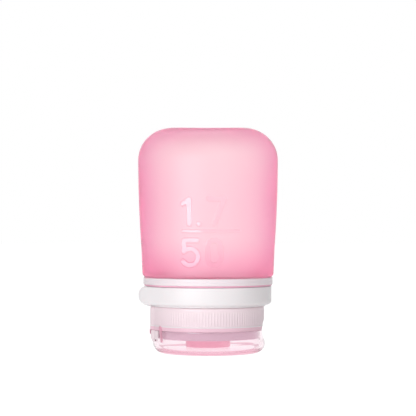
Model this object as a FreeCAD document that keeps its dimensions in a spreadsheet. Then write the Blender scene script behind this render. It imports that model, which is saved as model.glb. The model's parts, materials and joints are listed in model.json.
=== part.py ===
import FreeCAD, Part
import os
import Sketcher
from FreeCAD import Placement, Rotation, Vector

# A soft travel bottle that stands upside down on its flip lid.
# The origin is the middle of the lid's resting face, +Z points up to the bottle's base,
# the front is -Y, the lid's hinge is at -X and the thumb notch at +X.

# Driving dimensions in millimetres and degrees: alias, value, meaning.
DIMENSIONS = [
    ("lid_height", 7.5, "resting face to the lid's rim"),
    ("parting_gap", 0.1, "lid's rim to the cap's lower edge"),
    ("cap_clearance", 0.3, "cap's upper edge to the collar"),
    ("collar_height", 6.5, "collar's lower face to its upper face"),
    ("flange_thickness", 0.4, "bottle's clamped flange"),
    ("clamp_height", 2.35, "clamp ring, flange to shoulder"),
    ("body_height", 48.15, "shoulder to the base plane"),
    ("shoulder_radius", 21.25, "bottle's wall at the shoulder"),
    ("base_radius", 23.1, "bottle's wall carried on to the base plane"),
    ("body_wall", 2.2, "bottle's wall"),
    ("base_thickness", 2.6, "bottle's base"),
    ("base_corner", 10.4, "round between wall and base"),
    ("base_sag", 0.35, "depth of the trough across the base"),
    ("shoulder_round", 1.3, "round at the shoulder's edge"),
    ("bottle_neck_wall", 1.5, "soft neck's wall"),
    ("mouth_radius", 12.9, "bore of the rigid neck"),
    ("neck_wall", 2.0, "threaded neck's wall"),
    ("spigot_wall", 1.4, "wall of the tube inside the soft neck"),
    ("spigot_height", 3.4, "spigot above the collar's upper face"),
    ("fit_clearance", 0.05, "between parts that are pressed or stretched together"),
    ("collar_wall", 1.1, "wall between strap seat and snap channel"),
    ("collar_floor", 1.6, "floor of the snap channel"),
    ("collar_round", 1.2, "round at the collar's lower outer edge"),
    ("clamp_overhang", 0.4, "clamp ring's outer face outside the collar's"),
    ("clamp_round", 0.4, "round at the clamp ring's outer edges"),
    ("leg_count", 6, "snap legs"),
    ("leg_angle", 16, "angle that a snap leg spans"),
    ("leg_thickness", 0.9, "snap leg, radially"),
    ("leg_slot_margin", 1.0, "angle left free at each side of a leg"),
    ("barb_depth", 0.6, "barb standing out from the leg"),
    ("barb_height", 1.6, "barb's sloped face"),
    ("lip_height", 1.0, "lip that the barbs hook under"),
    ("snap_clearance", 0.2, "between legs and the channel's walls"),
    ("strap_thickness", 1.6, "loop strap, radially"),
    ("strap_seat_gap", 0.3, "between strap and its seat"),
    ("strap_edge_gap", 0.1, "strap's edges inside the collar's faces"),
    ("strap_round", 0.6, "round at the strap's lower outer edge"),
    ("tab_azimuth", 225, "where the strap leaves the collar as a straight tab"),
    ("tab_length", 11.2, "straight tab"),
    ("tab_pass_gap", 0.6, "tab to the collar where it passes the seat's end"),
    ("pivot_azimuth", 15, "strap's pivot, behind the right side"),
    ("barrel_radius", 1.0, "strap's barrel at the pivot, flush with the collar"),
    ("trunnion_radius", 0.6, "pins at the barrel's ends"),
    ("trunnion_clearance", 0.05, "radial play of the pins"),
    ("lug_height", 1.2, "collar above and below the barrel"),
    ("barrel_end_gap", 0.2, "barrel's ends to the lugs"),
    ("barrel_side_gap", 0.3, "barrel to its pocket"),
    ("lug_reach", 6, "angle from the pivot to the lugs' edge"),
    ("strap_root", 8.5, "angle from the pivot to the strap's full height"),
    ("root_margin", 0.5, "angle that the strap's root runs on into its neighbours"),
    ("skirt_wall", 1.8, "screw cap's skirt"),
    ("deck_thickness", 1.4, "screw cap's deck"),
    ("pad_seat_depth", 0.8, "valve's pad let into the cap"),
    ("pad_clearance", 0.3, "valve's pad to the cap"),
    ("edge_wall", 1.3, "cap's edge round the pad, and lid's wall"),
    ("gasket_thickness", 0.6, "cap gasket"),
    ("gasket_clearance", 0.2, "gasket to the walls beside it"),
    ("thread_pitch", 3.0, "one turn of the cap"),
    ("thread_turns", 0.95, "turns of each thread ridge"),
    ("thread_depth", 1.0, "height of a thread ridge"),
    ("thread_root", 1.15, "thread ridge at its foot"),
    ("thread_crest", 0.6, "thread ridge at its crest"),
    ("thread_lead", 0.25, "plain stretch before and after a thread ridge"),
    ("thread_clearance", 0.5, "neck's thread to the cap's skirt"),
    ("root_overlap", 0.2, "depth that a ridge or leg is sunk into its wall"),
    ("plug_wall", 1.5, "wall that holds the valve retainer"),
    ("plug_height", 2.4, "that wall above the deck"),
    ("plug_clearance", 0.4, "that wall to the mouth's bore"),
    ("pad_thickness", 3.65, "valve's pad"),
    ("nozzle_wall", 2.7, "valve's nozzle round its passage"),
    ("nozzle_gap", 0.3, "nozzle's tip to the lid's floor"),
    ("nozzle_round", 0.6, "round at the nozzle's tip and the pad's edge"),
    ("valve_bore", 4.5, "passage through the valve"),
    ("valve_neck_wall", 1.3, "valve's neck in the deck"),
    ("valve_flange", 2.8, "valve's inner flange outside its neck"),
    ("valve_flange_thickness", 1.0, "valve's inner flange"),
    ("membrane_inset", 1.3, "slit membrane above the nozzle's tip"),
    ("membrane_thickness", 0.6, "slit membrane"),
    ("slit_length", 5.0, "each slit of the cross"),
    ("slit_width", 0.15, "each slit of the cross"),
    ("retainer_height", 1.2, "valve retainer"),
    ("retainer_wall", 4.55, "valve retainer, radially"),
    ("lid_floor", 1.3, "lid's resting wall"),
    ("lid_round", 3.25, "round at the lid's lower edge"),
    ("lid_plug_side_gap", 0.8, "lid's plug ring to the nozzle's passage"),
    ("lid_plug_wall", 1.0, "lid's plug ring"),
    ("lid_plug_gap", 0.3, "plug ring to the slit membrane"),
    ("notch_depth", 0.85, "thumb notch at the parting line"),
    ("notch_half_height", 3.4, "thumb notch above and below the parting line"),
    ("hinge_pad_width", 9.6, "flat pads that carry the hinge film"),
    ("cap_pad_reach", 0.75, "cap's pad outside the cap's radius"),
    ("lid_pad_reach", 0.2, "lid's pad outside the lid's radius"),
    ("lid_pad_height", 3.6, "lid's pad below the rim"),
    ("film_width", 8.0, "hinge film"),
    ("film_thickness", 0.4, "hinge film"),
    ("film_drop", 1.4, "hinge film below the cap's lower edge"),
    ("spring_thickness", 0.4, "spring straps beside the film"),
    ("spring_azimuth", 36, "spring straps, angle from the hinge"),
    ("spring_angle", 7, "angle that a spring strap spans"),
    ("spring_rise", 1.5, "spring straps above the parting line"),
    ("spring_drop", 3.6, "spring straps below the parting line"),
]

doc = FreeCAD.newDocument("travel_bottle")
dims = doc.addObject("Spreadsheet::Sheet", "dims")
for row, (alias, value, meaning) in enumerate(DIMENSIONS, start=1):
    dims.set(f"A{row}", meaning)
    dims.set(f"B{row}", str(value))
    dims.setAlias(f"B{row}", alias)
doc.recompute()

# Heights above the resting face.
LID_RIM = "dims.lid_height"
CAP_FOOT = f"({LID_RIM} + dims.parting_gap)"
PARTING = f"({LID_RIM} + dims.parting_gap / 2)"
DECK_FOOT = f"({CAP_FOOT} + dims.pad_seat_depth)"
DECK_TOP = f"({DECK_FOOT} + dims.deck_thickness)"
NECK_RIM = f"({DECK_TOP} + dims.gasket_thickness)"
FIRST_TURN = f"({NECK_RIM} + dims.thread_lead + dims.thread_root / 2)"
LAST_TURN = f"({FIRST_TURN} + dims.thread_turns * dims.thread_pitch)"
CAP_TOP = f"({LAST_TURN} + dims.thread_root / 2 + dims.thread_lead)"
COLLAR_FOOT = f"({CAP_TOP} + dims.cap_clearance)"
COLLAR_TOP = f"({COLLAR_FOOT} + dims.collar_height)"
CLAMP_FOOT = f"({COLLAR_TOP} + dims.flange_thickness)"
SHOULDER = f"({CLAMP_FOOT} + dims.clamp_height)"
BASE = f"({SHOULDER} + dims.body_height)"
FLANGE_TOP = f"({DECK_TOP} + dims.valve_flange_thickness)"
PAD_FOOT = f"({DECK_FOOT} - dims.pad_thickness)"
NOZZLE_TIP = "(dims.lid_floor + dims.nozzle_gap)"
MEMBRANE_FOOT = f"({NOZZLE_TIP} + dims.membrane_inset)"
MEMBRANE_TOP = f"({MEMBRANE_FOOT} + dims.membrane_thickness)"
BARREL_FOOT = f"({COLLAR_FOOT} + dims.lug_height)"
BARREL_TOP = f"({COLLAR_TOP} - dims.lug_height)"
LIP_FOOT = f"({COLLAR_TOP} - dims.lip_height)"
BARB_TOP = f"({LIP_FOOT} - dims.snap_clearance)"

# Radii about the bottle's axis.
NECK_OUT = "(dims.mouth_radius + dims.neck_wall)"
SPIGOT_OUT = "(dims.mouth_radius + dims.spigot_wall)"
SOFT_NECK_IN = f"({SPIGOT_OUT} + dims.fit_clearance)"
SOFT_NECK_OUT = f"({SOFT_NECK_IN} + dims.bottle_neck_wall)"
CLAMP_BORE = f"({SOFT_NECK_OUT} + dims.fit_clearance)"
LEG_OUT = f"({CLAMP_BORE} + dims.leg_thickness)"
BARB_OUT = f"({LEG_OUT} + dims.barb_depth)"
LIP_IN = f"({LEG_OUT} + dims.snap_clearance)"
CHANNEL_OUT = f"({BARB_OUT} + dims.snap_clearance)"
SEAT = f"({CHANNEL_OUT} + dims.collar_wall)"
STRAP_IN = f"({SEAT} + dims.strap_seat_gap)"
COLLAR_OUT = f"({STRAP_IN} + dims.strap_thickness)"
CLAMP_OUT = f"({COLLAR_OUT} + dims.clamp_overhang)"
SKIRT_IN = f"({NECK_OUT} + dims.thread_depth + dims.thread_clearance)"
CAP_OUT = f"({SKIRT_IN} + dims.skirt_wall)"
EDGE_IN = f"({CAP_OUT} - dims.edge_wall)"
PLUG_OUT = "(dims.mouth_radius - dims.plug_clearance)"
PLUG_IN = f"({PLUG_OUT} - dims.plug_wall)"
VALVE_NECK_OUT = "(dims.valve_bore + dims.valve_neck_wall)"
NOZZLE_OUT = "(dims.valve_bore + dims.nozzle_wall)"
PIVOT = f"({COLLAR_OUT} - dims.barrel_radius)"
PIVOT_X = f"({PIVOT} * cos(dims.pivot_azimuth))"
PIVOT_Y = f"({PIVOT} * sin(dims.pivot_azimuth))"
CAP_PAD = f"({CAP_OUT} + dims.cap_pad_reach)"
LID_PAD = f"({CAP_OUT} + dims.lid_pad_reach)"

# Azimuths round the axis, counted from +X.
FULL_TURN = 360
HALF_TURN = 180
TAB_PASS = f"(acos({STRAP_IN} / ({COLLAR_OUT} + dims.tab_pass_gap)) / 1 deg)"
SEAT_END = f"(dims.tab_azimuth - {TAB_PASS})"
SEAT_START = f"(dims.pivot_azimuth - dims.lug_reach + {FULL_TURN})"
STRAP_START = f"(dims.pivot_azimuth - dims.strap_root + {FULL_TURN})"

# The tab's end is a half circle but for a short flat.
TAB_END_SHARE = 0.49
TOLERANCE = 1e-4


def size(expression):
    """The number that an expression on the sheet gives now."""
    return float(dims.evalExpression(expression))


def new_body(label):
    body = doc.addObject("PartDesign::Body", label)
    body.Label = label
    return body


def new_sketch(body, name, role="XZ_Plane", turn=None, lift=None):
    """A sketch on one of the body's own planes.

    turn swings an upright plane round the bottle's axis, lift raises a level one.
    """
    sketch = body.newObject("Sketcher::SketchObject", name)
    plane = next(part for part in body.Origin.OriginFeatures if part.Role == role)
    sketch.AttachmentSupport = [(plane, "")]
    sketch.MapMode = "FlatFace"
    if turn:
        sketch.AttachmentOffset = Placement(Vector(), Rotation(Vector(0, 1, 0), size(turn)))
        sketch.setExpression("AttachmentOffset.Rotation.Angle", turn)
    if lift:
        sketch.setExpression("AttachmentOffset.Base.z", lift)
    return sketch


def bind(sketch, kind, first, place, expression):
    """Holds one coordinate of a sketch point, or puts the point on the axis."""
    value = size(expression)
    axis = {"DistanceX": -2, "DistanceY": -1}[kind]
    if value == 0:
        sketch.addConstraint(Sketcher.Constraint("PointOnObject", first, place, axis))
        return
    index = sketch.addConstraint(Sketcher.Constraint(kind, -1, 1, first, place, value))
    sketch.setExpression(f"Constraints[{index}]", expression)


def add_loop(sketch, corners):
    """A closed outline through corners, each a pair of expressions."""
    points = [Vector(size(across), size(up), 0) for across, up in corners]
    first = sketch.GeometryCount
    count = len(points)
    for index in range(count):
        sketch.addGeometry(Part.LineSegment(points[index], points[(index + 1) % count]), False)
    for index in range(count):
        following = first + (index + 1) % count
        sketch.addConstraint(Sketcher.Constraint("Coincident", first + index, 2, following, 1))
    for index, (across, up) in enumerate(corners):
        bind(sketch, "DistanceX", first + index, 1, across)
        bind(sketch, "DistanceY", first + index, 1, up)
    return sketch


def add_circle(sketch, across, up, radius):
    centre = Vector(size(across), size(up), 0)
    index = sketch.addGeometry(Part.Circle(centre, Vector(0, 0, 1), size(radius)), False)
    bind(sketch, "DistanceX", index, 3, across)
    bind(sketch, "DistanceY", index, 3, up)
    limit = sketch.addConstraint(Sketcher.Constraint("Radius", index, size(radius)))
    sketch.setExpression(f"Constraints[{limit}]", radius)
    return sketch


def rectangle(left, right, low, high):
    return [(left, low), (right, low), (right, high), (left, high)]


def turned(body, name, sketch, angle=None, cut=False):
    """Turns a sketch round the bottle's axis: all the way, or angle degrees about its plane."""
    before = body.Shape.Volume if cut else 0
    kind = "PartDesign::Groove" if cut else "PartDesign::Revolution"
    feature = body.newObject(kind, name)
    feature.Profile = sketch
    feature.ReferenceAxis = (sketch, ["V_Axis"])
    feature.Angle = FULL_TURN
    if angle:
        feature.Midplane = True
        feature.setExpression("Angle", angle)
    doc.recompute()
    check_cut(body, name, before, cut)
    return feature


def extruded(body, name, sketch, length, symmetric=False, reverse=False, cut=False):
    """Pushes a sketch along its normal, or cuts it out of the body."""
    before = body.Shape.Volume if cut else 0
    feature = body.newObject("PartDesign::Pocket" if cut else "PartDesign::Pad", name)
    feature.Profile = sketch
    feature.SideType = "Symmetric" if symmetric else "One side"
    feature.Reversed = reverse
    feature.setExpression("Length", length)
    doc.recompute()
    check_cut(body, name, before, cut)
    return feature


def check_cut(body, name, before, cut):
    if cut and not body.Shape.Volume < before:
        raise RuntimeError(f"{name} cuts nothing")


def repeated(body, name, feature, count):
    """Copies a feature evenly round the bottle's axis."""
    pattern = body.newObject("PartDesign::PolarPattern", name)
    pattern.Originals = [feature]
    pattern.Axis = (feature.Profile[0], ["V_Axis"])
    pattern.Angle = FULL_TURN
    pattern.setExpression("Occurrences", count)
    body.Tip = pattern
    doc.recompute()
    return pattern


def rounded(body, name, radius, wanted):
    """Rounds the edges of the body that wanted picks."""
    doc.recompute()
    base = body.Tip
    names = [f"Edge{n}" for n, edge in enumerate(base.Shape.Edges, start=1) if wanted(edge)]
    if not names:
        raise RuntimeError(f"{name} finds no edge")
    feature = body.newObject("PartDesign::Fillet", name)
    feature.Base = (base, names)
    feature.setExpression("Radius", radius)
    doc.recompute()
    return feature


def ring_edge(*rings):
    """Picks the level circles round the axis with these radii and heights."""
    wanted = [(size(radius), size(height)) for radius, height in rings]

    def picks(edge):
        if not isinstance(edge.Curve, Part.Circle):
            return False
        here = (edge.Curve.Radius, edge.Curve.Center.z)
        return any(abs(here[0] - r) < TOLERANCE and abs(here[1] - z) < TOLERANCE for r, z in wanted)

    return picks


def helix(body, name, sketch):
    """Carries a thread's profile up round the axis."""
    feature = body.newObject("PartDesign::AdditiveHelix", name)
    feature.Profile = sketch
    feature.ReferenceAxis = (sketch, ["V_Axis"])
    feature.Mode = "pitch-turns-angle"
    feature.setExpression("Pitch", "dims.thread_pitch")
    feature.setExpression("Turns", "dims.thread_turns")
    doc.recompute()
    return feature


def thread_outline(root, crest):
    """A ridge's section between its root and crest radii, at the first turn."""
    return [
        (root, f"{FIRST_TURN} - dims.thread_root / 2"),
        (crest, f"{FIRST_TURN} - dims.thread_crest / 2"),
        (crest, f"{FIRST_TURN} + dims.thread_crest / 2"),
        (root, f"{FIRST_TURN} + dims.thread_root / 2"),
    ]


def make_bottle_body():
    """Soft bottle: tapered wall, rounded base with a shallow trough, neck and clamped flange."""
    body = new_body("bottle_body")
    inner_shoulder = f"({SHOULDER} + dims.body_wall)"
    inner_base = f"({BASE} - dims.base_thickness)"
    flange = f"({COLLAR_OUT} - dims.strap_edge_gap)"
    section = add_loop(new_sketch(body, "bottle_section"), [
        (SOFT_NECK_IN, COLLAR_TOP),
        (flange, COLLAR_TOP),
        (flange, CLAMP_FOOT),
        (SOFT_NECK_OUT, CLAMP_FOOT),
        (SOFT_NECK_OUT, SHOULDER),
        ("dims.shoulder_radius", SHOULDER),
        ("dims.base_radius", BASE),
        ("0", BASE),
        ("0", inner_base),
        ("dims.base_radius - dims.body_wall", inner_base),
        ("dims.shoulder_radius - dims.body_wall", inner_shoulder),
        (SOFT_NECK_IN, inner_shoulder),
    ])
    turned(body, "bottle_wall", section)
    rounded(body, "base_outer_round", "dims.base_corner", ring_edge(("dims.base_radius", BASE)))
    rounded(body, "base_inner_round", "dims.base_corner - dims.body_wall",
            ring_edge(("dims.base_radius - dims.body_wall", inner_base)))
    rounded(body, "shoulder_edge", "dims.shoulder_round",
            ring_edge(("dims.shoulder_radius", SHOULDER)))
    half_width = "(dims.base_radius - dims.base_corner)"
    trough = f"(({half_width} ^ 2 + dims.base_sag ^ 2) / (2 * dims.base_sag))"
    scoop = add_circle(new_sketch(body, "base_trough_section"), "0",
                       f"{BASE} + {trough} - dims.base_sag", trough)
    extruded(body, "base_trough", scoop, "4 * dims.base_radius", symmetric=True, cut=True)
    slot = add_loop(new_sketch(body, "leg_slot_section"), rectangle(
        f"{CLAMP_BORE} - dims.snap_clearance", LIP_IN,
        f"{COLLAR_TOP} - dims.flange_thickness", f"{CLAMP_FOOT} + dims.fit_clearance"))
    first = turned(body, "leg_slot", slot, "dims.leg_angle + 2 * dims.leg_slot_margin", cut=True)
    repeated(body, "leg_slots", first, "dims.leg_count")
    return body


def make_clamp_ring():
    """Ring under the shoulder that presses the flange on the collar, with barbed legs."""
    body = new_body("clamp_ring")
    section = add_loop(new_sketch(body, "clamp_section"), rectangle(
        CLAMP_BORE, CLAMP_OUT, CLAMP_FOOT, SHOULDER))
    turned(body, "clamp_plate", section)
    rounded(body, "clamp_edges", "dims.clamp_round",
            ring_edge((CLAMP_OUT, CLAMP_FOOT), (CLAMP_OUT, SHOULDER)))
    leg_foot = f"({BARB_TOP} - dims.barb_height)"
    leg = add_loop(new_sketch(body, "leg_section"), [
        (CLAMP_BORE, leg_foot),
        (LEG_OUT, leg_foot),
        (BARB_OUT, BARB_TOP),
        (LEG_OUT, BARB_TOP),
        (LEG_OUT, f"{CLAMP_FOOT} + dims.root_overlap"),
        (CLAMP_BORE, f"{CLAMP_FOOT} + dims.root_overlap"),
    ])
    first = turned(body, "snap_leg", leg, "dims.leg_angle")
    repeated(body, "snap_legs", first, "dims.leg_count")
    return body


def make_collar():
    """Rigid neck: threaded tube, snap channel, seat and lugs for the loop strap."""
    body = new_body("collar")
    channel_floor = f"({COLLAR_FOOT} + dims.collar_floor)"
    spigot_top = f"({COLLAR_TOP} + dims.spigot_height)"
    section = add_loop(new_sketch(body, "collar_section"), [
        ("dims.mouth_radius", NECK_RIM),
        (NECK_OUT, NECK_RIM),
        (NECK_OUT, COLLAR_FOOT),
        (COLLAR_OUT, COLLAR_FOOT),
        (COLLAR_OUT, COLLAR_TOP),
        (LIP_IN, COLLAR_TOP),
        (LIP_IN, LIP_FOOT),
        (CHANNEL_OUT, LIP_FOOT),
        (CHANNEL_OUT, channel_floor),
        (NECK_OUT, channel_floor),
        (NECK_OUT, COLLAR_TOP),
        (SPIGOT_OUT, COLLAR_TOP),
        (SPIGOT_OUT, spigot_top),
        ("dims.mouth_radius", spigot_top),
    ])
    turned(body, "collar_ring", section)
    rounded(body, "collar_edge", "dims.collar_round",
            ring_edge((COLLAR_OUT, COLLAR_FOOT)))
    ridge = add_loop(new_sketch(body, "neck_thread_section"), thread_outline(
        f"{NECK_OUT} - dims.root_overlap", f"{NECK_OUT} + dims.thread_depth"))
    helix(body, "neck_thread", ridge)
    outside = f"{COLLAR_OUT} + dims.strap_thickness"
    seat = add_loop(
        new_sketch(body, "strap_seat_section", turn=f"({SEAT_START} + {SEAT_END}) / 2"),
        rectangle(SEAT, outside, f"{COLLAR_FOOT} - dims.strap_thickness",
                  f"{COLLAR_TOP} + dims.strap_thickness"))
    turned(body, "strap_seat", seat, f"{SEAT_START} - {SEAT_END}", cut=True)
    slot = add_loop(
        new_sketch(body, "root_slot_section", turn="dims.pivot_azimuth - dims.lug_reach / 2"),
        rectangle(SEAT, outside, BARREL_FOOT, BARREL_TOP))
    turned(body, "root_slot", slot, "dims.lug_reach + dims.root_margin", cut=True)
    pocket = add_circle(new_sketch(body, "barrel_pocket_outline", "XY_Plane", lift=BARREL_FOOT),
                        PIVOT_X, PIVOT_Y, "dims.barrel_radius + dims.barrel_side_gap")
    extruded(body, "barrel_pocket", pocket, f"{BARREL_TOP} - {BARREL_FOOT}", reverse=True, cut=True)
    pin_hole = add_circle(new_sketch(body, "pin_hole_outline", "XY_Plane", lift=COLLAR_FOOT),
                          PIVOT_X, PIVOT_Y, "dims.trunnion_radius + dims.trunnion_clearance")
    extruded(body, "pin_holes", pin_hole, "dims.collar_height", reverse=True, cut=True)
    return body


def strap_section(low, high):
    return rectangle(STRAP_IN, COLLAR_OUT, low, high)


def make_loop_strap():
    """Band round the front of the collar, with a pull tab and a barrel that it swings on."""
    body = new_body("loop_strap")
    low = f"({COLLAR_FOOT} + dims.strap_edge_gap)"
    high = f"({COLLAR_TOP} - dims.strap_edge_gap)"
    band = add_loop(new_sketch(body, "band_section", turn=f"({STRAP_START} + dims.tab_azimuth) / 2"),
                    strap_section(low, high))
    turned(body, "band", band, f"{STRAP_START} - dims.tab_azimuth")
    tab = add_loop(new_sketch(body, "tab_section", turn="dims.tab_azimuth"),
                   strap_section(low, high))
    extruded(body, "tab", tab, "dims.tab_length")
    middle = size(f"({STRAP_IN} + {COLLAR_OUT}) / 2")
    tab_reach = (middle ** 2 + size("dims.tab_length") ** 2) ** 0.5

    def tab_corner(edge):
        """Picks the two level edges across the tab's thickness at its end."""
        ends = [vertex.Point for vertex in edge.Vertexes]
        level = abs(ends[0].z - ends[-1].z) < TOLERANCE
        centre = edge.CenterOfMass
        return level and abs((centre.x ** 2 + centre.y ** 2) ** 0.5 - tab_reach) < TOLERANCE

    rounded(body, "tab_end", f"{TAB_END_SHARE} * ({high} - {low})", tab_corner)
    rounded(body, "strap_edges", "dims.strap_round", ring_edge((COLLAR_OUT, low)))
    root = add_loop(
        new_sketch(body, "root_section", turn="dims.pivot_azimuth - dims.strap_root / 2"),
        strap_section(f"{BARREL_FOOT} + dims.barrel_end_gap", f"{BARREL_TOP} - dims.barrel_end_gap"))
    turned(body, "root", root, "dims.strap_root + dims.root_margin")
    barrel = add_circle(
        new_sketch(body, "barrel_outline", "XY_Plane", lift=f"{BARREL_FOOT} + dims.barrel_end_gap"),
        PIVOT_X, PIVOT_Y, "dims.barrel_radius")
    extruded(body, "barrel", barrel, f"{BARREL_TOP} - {BARREL_FOOT} - 2 * dims.barrel_end_gap")
    pins = add_circle(new_sketch(body, "pin_outline", "XY_Plane", lift=low),
                      PIVOT_X, PIVOT_Y, "dims.trunnion_radius")
    extruded(body, "pins", pins, f"{high} - {low}")
    return body


def cut_notch(body, name):
    """Thumb notch at the right: a level cylinder that crosses the parting line."""
    radius = "((dims.notch_half_height ^ 2 + dims.notch_depth ^ 2) / (2 * dims.notch_depth))"
    outline = add_circle(new_sketch(body, f"{name}_outline"),
                         f"{CAP_OUT} - dims.notch_depth + {radius}", PARTING, radius)
    extruded(body, name, outline, f"2 * {CAP_OUT}", symmetric=True, cut=True)


def add_hinge_pad(body, name, reach, low, high):
    """Flat pad at the left that the hinge film ends on."""
    half = "dims.hinge_pad_width / 2"
    outline = add_loop(new_sketch(body, f"{name}_outline", "XY_Plane", lift=low), rectangle(
        f"-{reach}", f"-({EDGE_IN} + dims.edge_wall / 4)", f"-{half}", half))
    extruded(body, name, outline, f"{high} - {low}")


def make_cap():
    """Screw cap: skirt with an inner thread, deck with the valve's hole, retainer wall."""
    body = new_body("cap")
    hole = f"({VALVE_NECK_OUT} + dims.fit_clearance)"
    plug_top = f"({DECK_TOP} + dims.plug_height)"
    section = add_loop(new_sketch(body, "cap_section"), [
        (hole, DECK_FOOT),
        (EDGE_IN, DECK_FOOT),
        (EDGE_IN, CAP_FOOT),
        (CAP_OUT, CAP_FOOT),
        (CAP_OUT, CAP_TOP),
        (SKIRT_IN, CAP_TOP),
        (SKIRT_IN, DECK_TOP),
        (PLUG_OUT, DECK_TOP),
        (PLUG_OUT, plug_top),
        (PLUG_IN, plug_top),
        (PLUG_IN, DECK_TOP),
        (hole, DECK_TOP),
    ])
    turned(body, "cap_wall", section)
    ridge = add_loop(new_sketch(body, "cap_thread_section", turn=str(HALF_TURN)), thread_outline(
        f"{SKIRT_IN} + dims.root_overlap", f"{SKIRT_IN} - dims.thread_depth"))
    helix(body, "cap_thread", ridge)
    add_hinge_pad(body, "cap_hinge_pad", CAP_PAD, CAP_FOOT, CAP_TOP)
    cut_notch(body, "cap_notch")
    return body


def make_cap_gasket():
    """Flat ring between the cap's deck and the neck's rim."""
    body = new_body("cap_gasket")
    section = add_loop(new_sketch(body, "gasket_section"), rectangle(
        f"{PLUG_OUT} + dims.gasket_clearance", f"{SKIRT_IN} - dims.gasket_clearance",
        DECK_TOP, NECK_RIM))
    turned(body, "gasket_ring", section)
    return body


def make_slit_valve():
    """Soft pad and nozzle under the deck, with a cross-slit membrane and an inner flange."""
    body = new_body("slit_valve")
    pad = f"({EDGE_IN} - dims.pad_clearance)"
    inner_flange = f"({VALVE_NECK_OUT} + dims.valve_flange)"
    section = add_loop(new_sketch(body, "valve_section"), [
        ("0", MEMBRANE_FOOT),
        ("dims.valve_bore", MEMBRANE_FOOT),
        ("dims.valve_bore", NOZZLE_TIP),
        (NOZZLE_OUT, NOZZLE_TIP),
        (NOZZLE_OUT, PAD_FOOT),
        (pad, PAD_FOOT),
        (pad, DECK_FOOT),
        (VALVE_NECK_OUT, DECK_FOOT),
        (VALVE_NECK_OUT, DECK_TOP),
        (inner_flange, DECK_TOP),
        (inner_flange, FLANGE_TOP),
        ("dims.valve_bore", FLANGE_TOP),
        ("dims.valve_bore", MEMBRANE_TOP),
        ("0", MEMBRANE_TOP),
    ])
    turned(body, "valve_wall", section)
    rounded(body, "valve_edges", "dims.nozzle_round",
            ring_edge((NOZZLE_OUT, NOZZLE_TIP), (pad, PAD_FOOT)))
    long_half = "dims.slit_length / 2"
    thin_half = "dims.slit_width / 2"
    cross = add_loop(new_sketch(body, "slit_outline", "XY_Plane", lift=MEMBRANE_FOOT), [
        (long_half, f"-{thin_half}"),
        (long_half, thin_half),
        (thin_half, thin_half),
        (thin_half, long_half),
        (f"-{thin_half}", long_half),
        (f"-{thin_half}", thin_half),
        (f"-{long_half}", thin_half),
        (f"-{long_half}", f"-{thin_half}"),
        (f"-{thin_half}", f"-{thin_half}"),
        (f"-{thin_half}", f"-{long_half}"),
        (thin_half, f"-{long_half}"),
        (thin_half, f"-{thin_half}"),
    ])
    extruded(body, "slits", cross, "dims.membrane_thickness", reverse=True, cut=True)
    return body


def make_valve_retainer():
    """Ring pressed into the cap's inner wall, which holds the valve's flange on the deck."""
    body = new_body("valve_retainer")
    outside = f"({PLUG_IN} - dims.fit_clearance)"
    section = add_loop(new_sketch(body, "retainer_section"), rectangle(
        f"{outside} - dims.retainer_wall", outside,
        FLANGE_TOP, f"{FLANGE_TOP} + dims.retainer_height"))
    turned(body, "retainer_ring", section)
    return body


def make_lid():
    """Clear flip lid: a shallow cup with a plug ring that stops the nozzle."""
    body = new_body("lid")
    plug_top = f"({MEMBRANE_FOOT} - dims.lid_plug_gap)"
    plug_out = "(dims.valve_bore - dims.lid_plug_side_gap)"
    plug_in = f"({plug_out} - dims.lid_plug_wall)"
    section = add_loop(new_sketch(body, "lid_section"), [
        ("0", "0"),
        (CAP_OUT, "0"),
        (CAP_OUT, LID_RIM),
        (EDGE_IN, LID_RIM),
        (EDGE_IN, "dims.lid_floor"),
        (plug_out, "dims.lid_floor"),
        (plug_out, plug_top),
        (plug_in, plug_top),
        (plug_in, "dims.lid_floor"),
        ("0", "dims.lid_floor"),
    ])
    turned(body, "lid_cup", section)
    rounded(body, "lid_edge", "dims.lid_round", ring_edge((CAP_OUT, "0")))
    rounded(body, "lid_inner_edge", "dims.lid_round - dims.lid_floor",
            ring_edge((EDGE_IN, "dims.lid_floor")))
    add_hinge_pad(body, "lid_hinge_pad", LID_PAD, f"({LID_RIM} - dims.lid_pad_height)", LID_RIM)
    cut_notch(body, "lid_notch")
    return body


def make_hinge_film():
    """Thin web from the cap's pad down and in to the lid's pad."""
    body = new_body("hinge_film")
    foot = f"({CAP_FOOT} - dims.film_drop)"
    inner = f"({CAP_PAD} - dims.film_thickness)"
    outline = add_loop(new_sketch(body, "film_outline"), [
        (f"-{CAP_PAD}", CAP_FOOT),
        (f"-{CAP_PAD}", foot),
        (f"-{LID_PAD}", foot),
        (f"-{LID_PAD}", f"{foot} + dims.film_thickness"),
        (f"-{inner}", f"{foot} + dims.film_thickness"),
        (f"-{inner}", CAP_FOOT),
    ])
    extruded(body, "film", outline, "dims.film_width", symmetric=True)
    return body


def make_hinge_springs():
    """Two curved straps beside the film that snap the lid open, one mirrored from the other."""
    strap = new_body("front_spring")
    inner = f"({CAP_OUT} + dims.fit_clearance)"
    section = add_loop(
        new_sketch(strap, "spring_section", turn=f"{HALF_TURN} + dims.spring_azimuth"),
        rectangle(inner, f"{inner} + dims.spring_thickness",
                  f"{PARTING} - dims.spring_drop", f"{PARTING} + dims.spring_rise"))
    turned(strap, "spring", section, "dims.spring_angle")
    mirrored = doc.addObject("Part::Mirroring", "rear_spring")
    mirrored.Source = strap
    mirrored.Normal = Vector(0, 1, 0)
    pair = doc.addObject("Part::Compound", "hinge_springs")
    pair.Label = "hinge_springs"
    pair.Links = [strap, mirrored]
    return pair


PIECES = [
    make_bottle_body(),
    make_clamp_ring(),
    make_collar(),
    make_loop_strap(),
    make_cap(),
    make_cap_gasket(),
    make_slit_valve(),
    make_valve_retainer(),
    make_lid(),
    make_hinge_film(),
    make_hinge_springs(),
]
doc.recompute()

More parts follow.
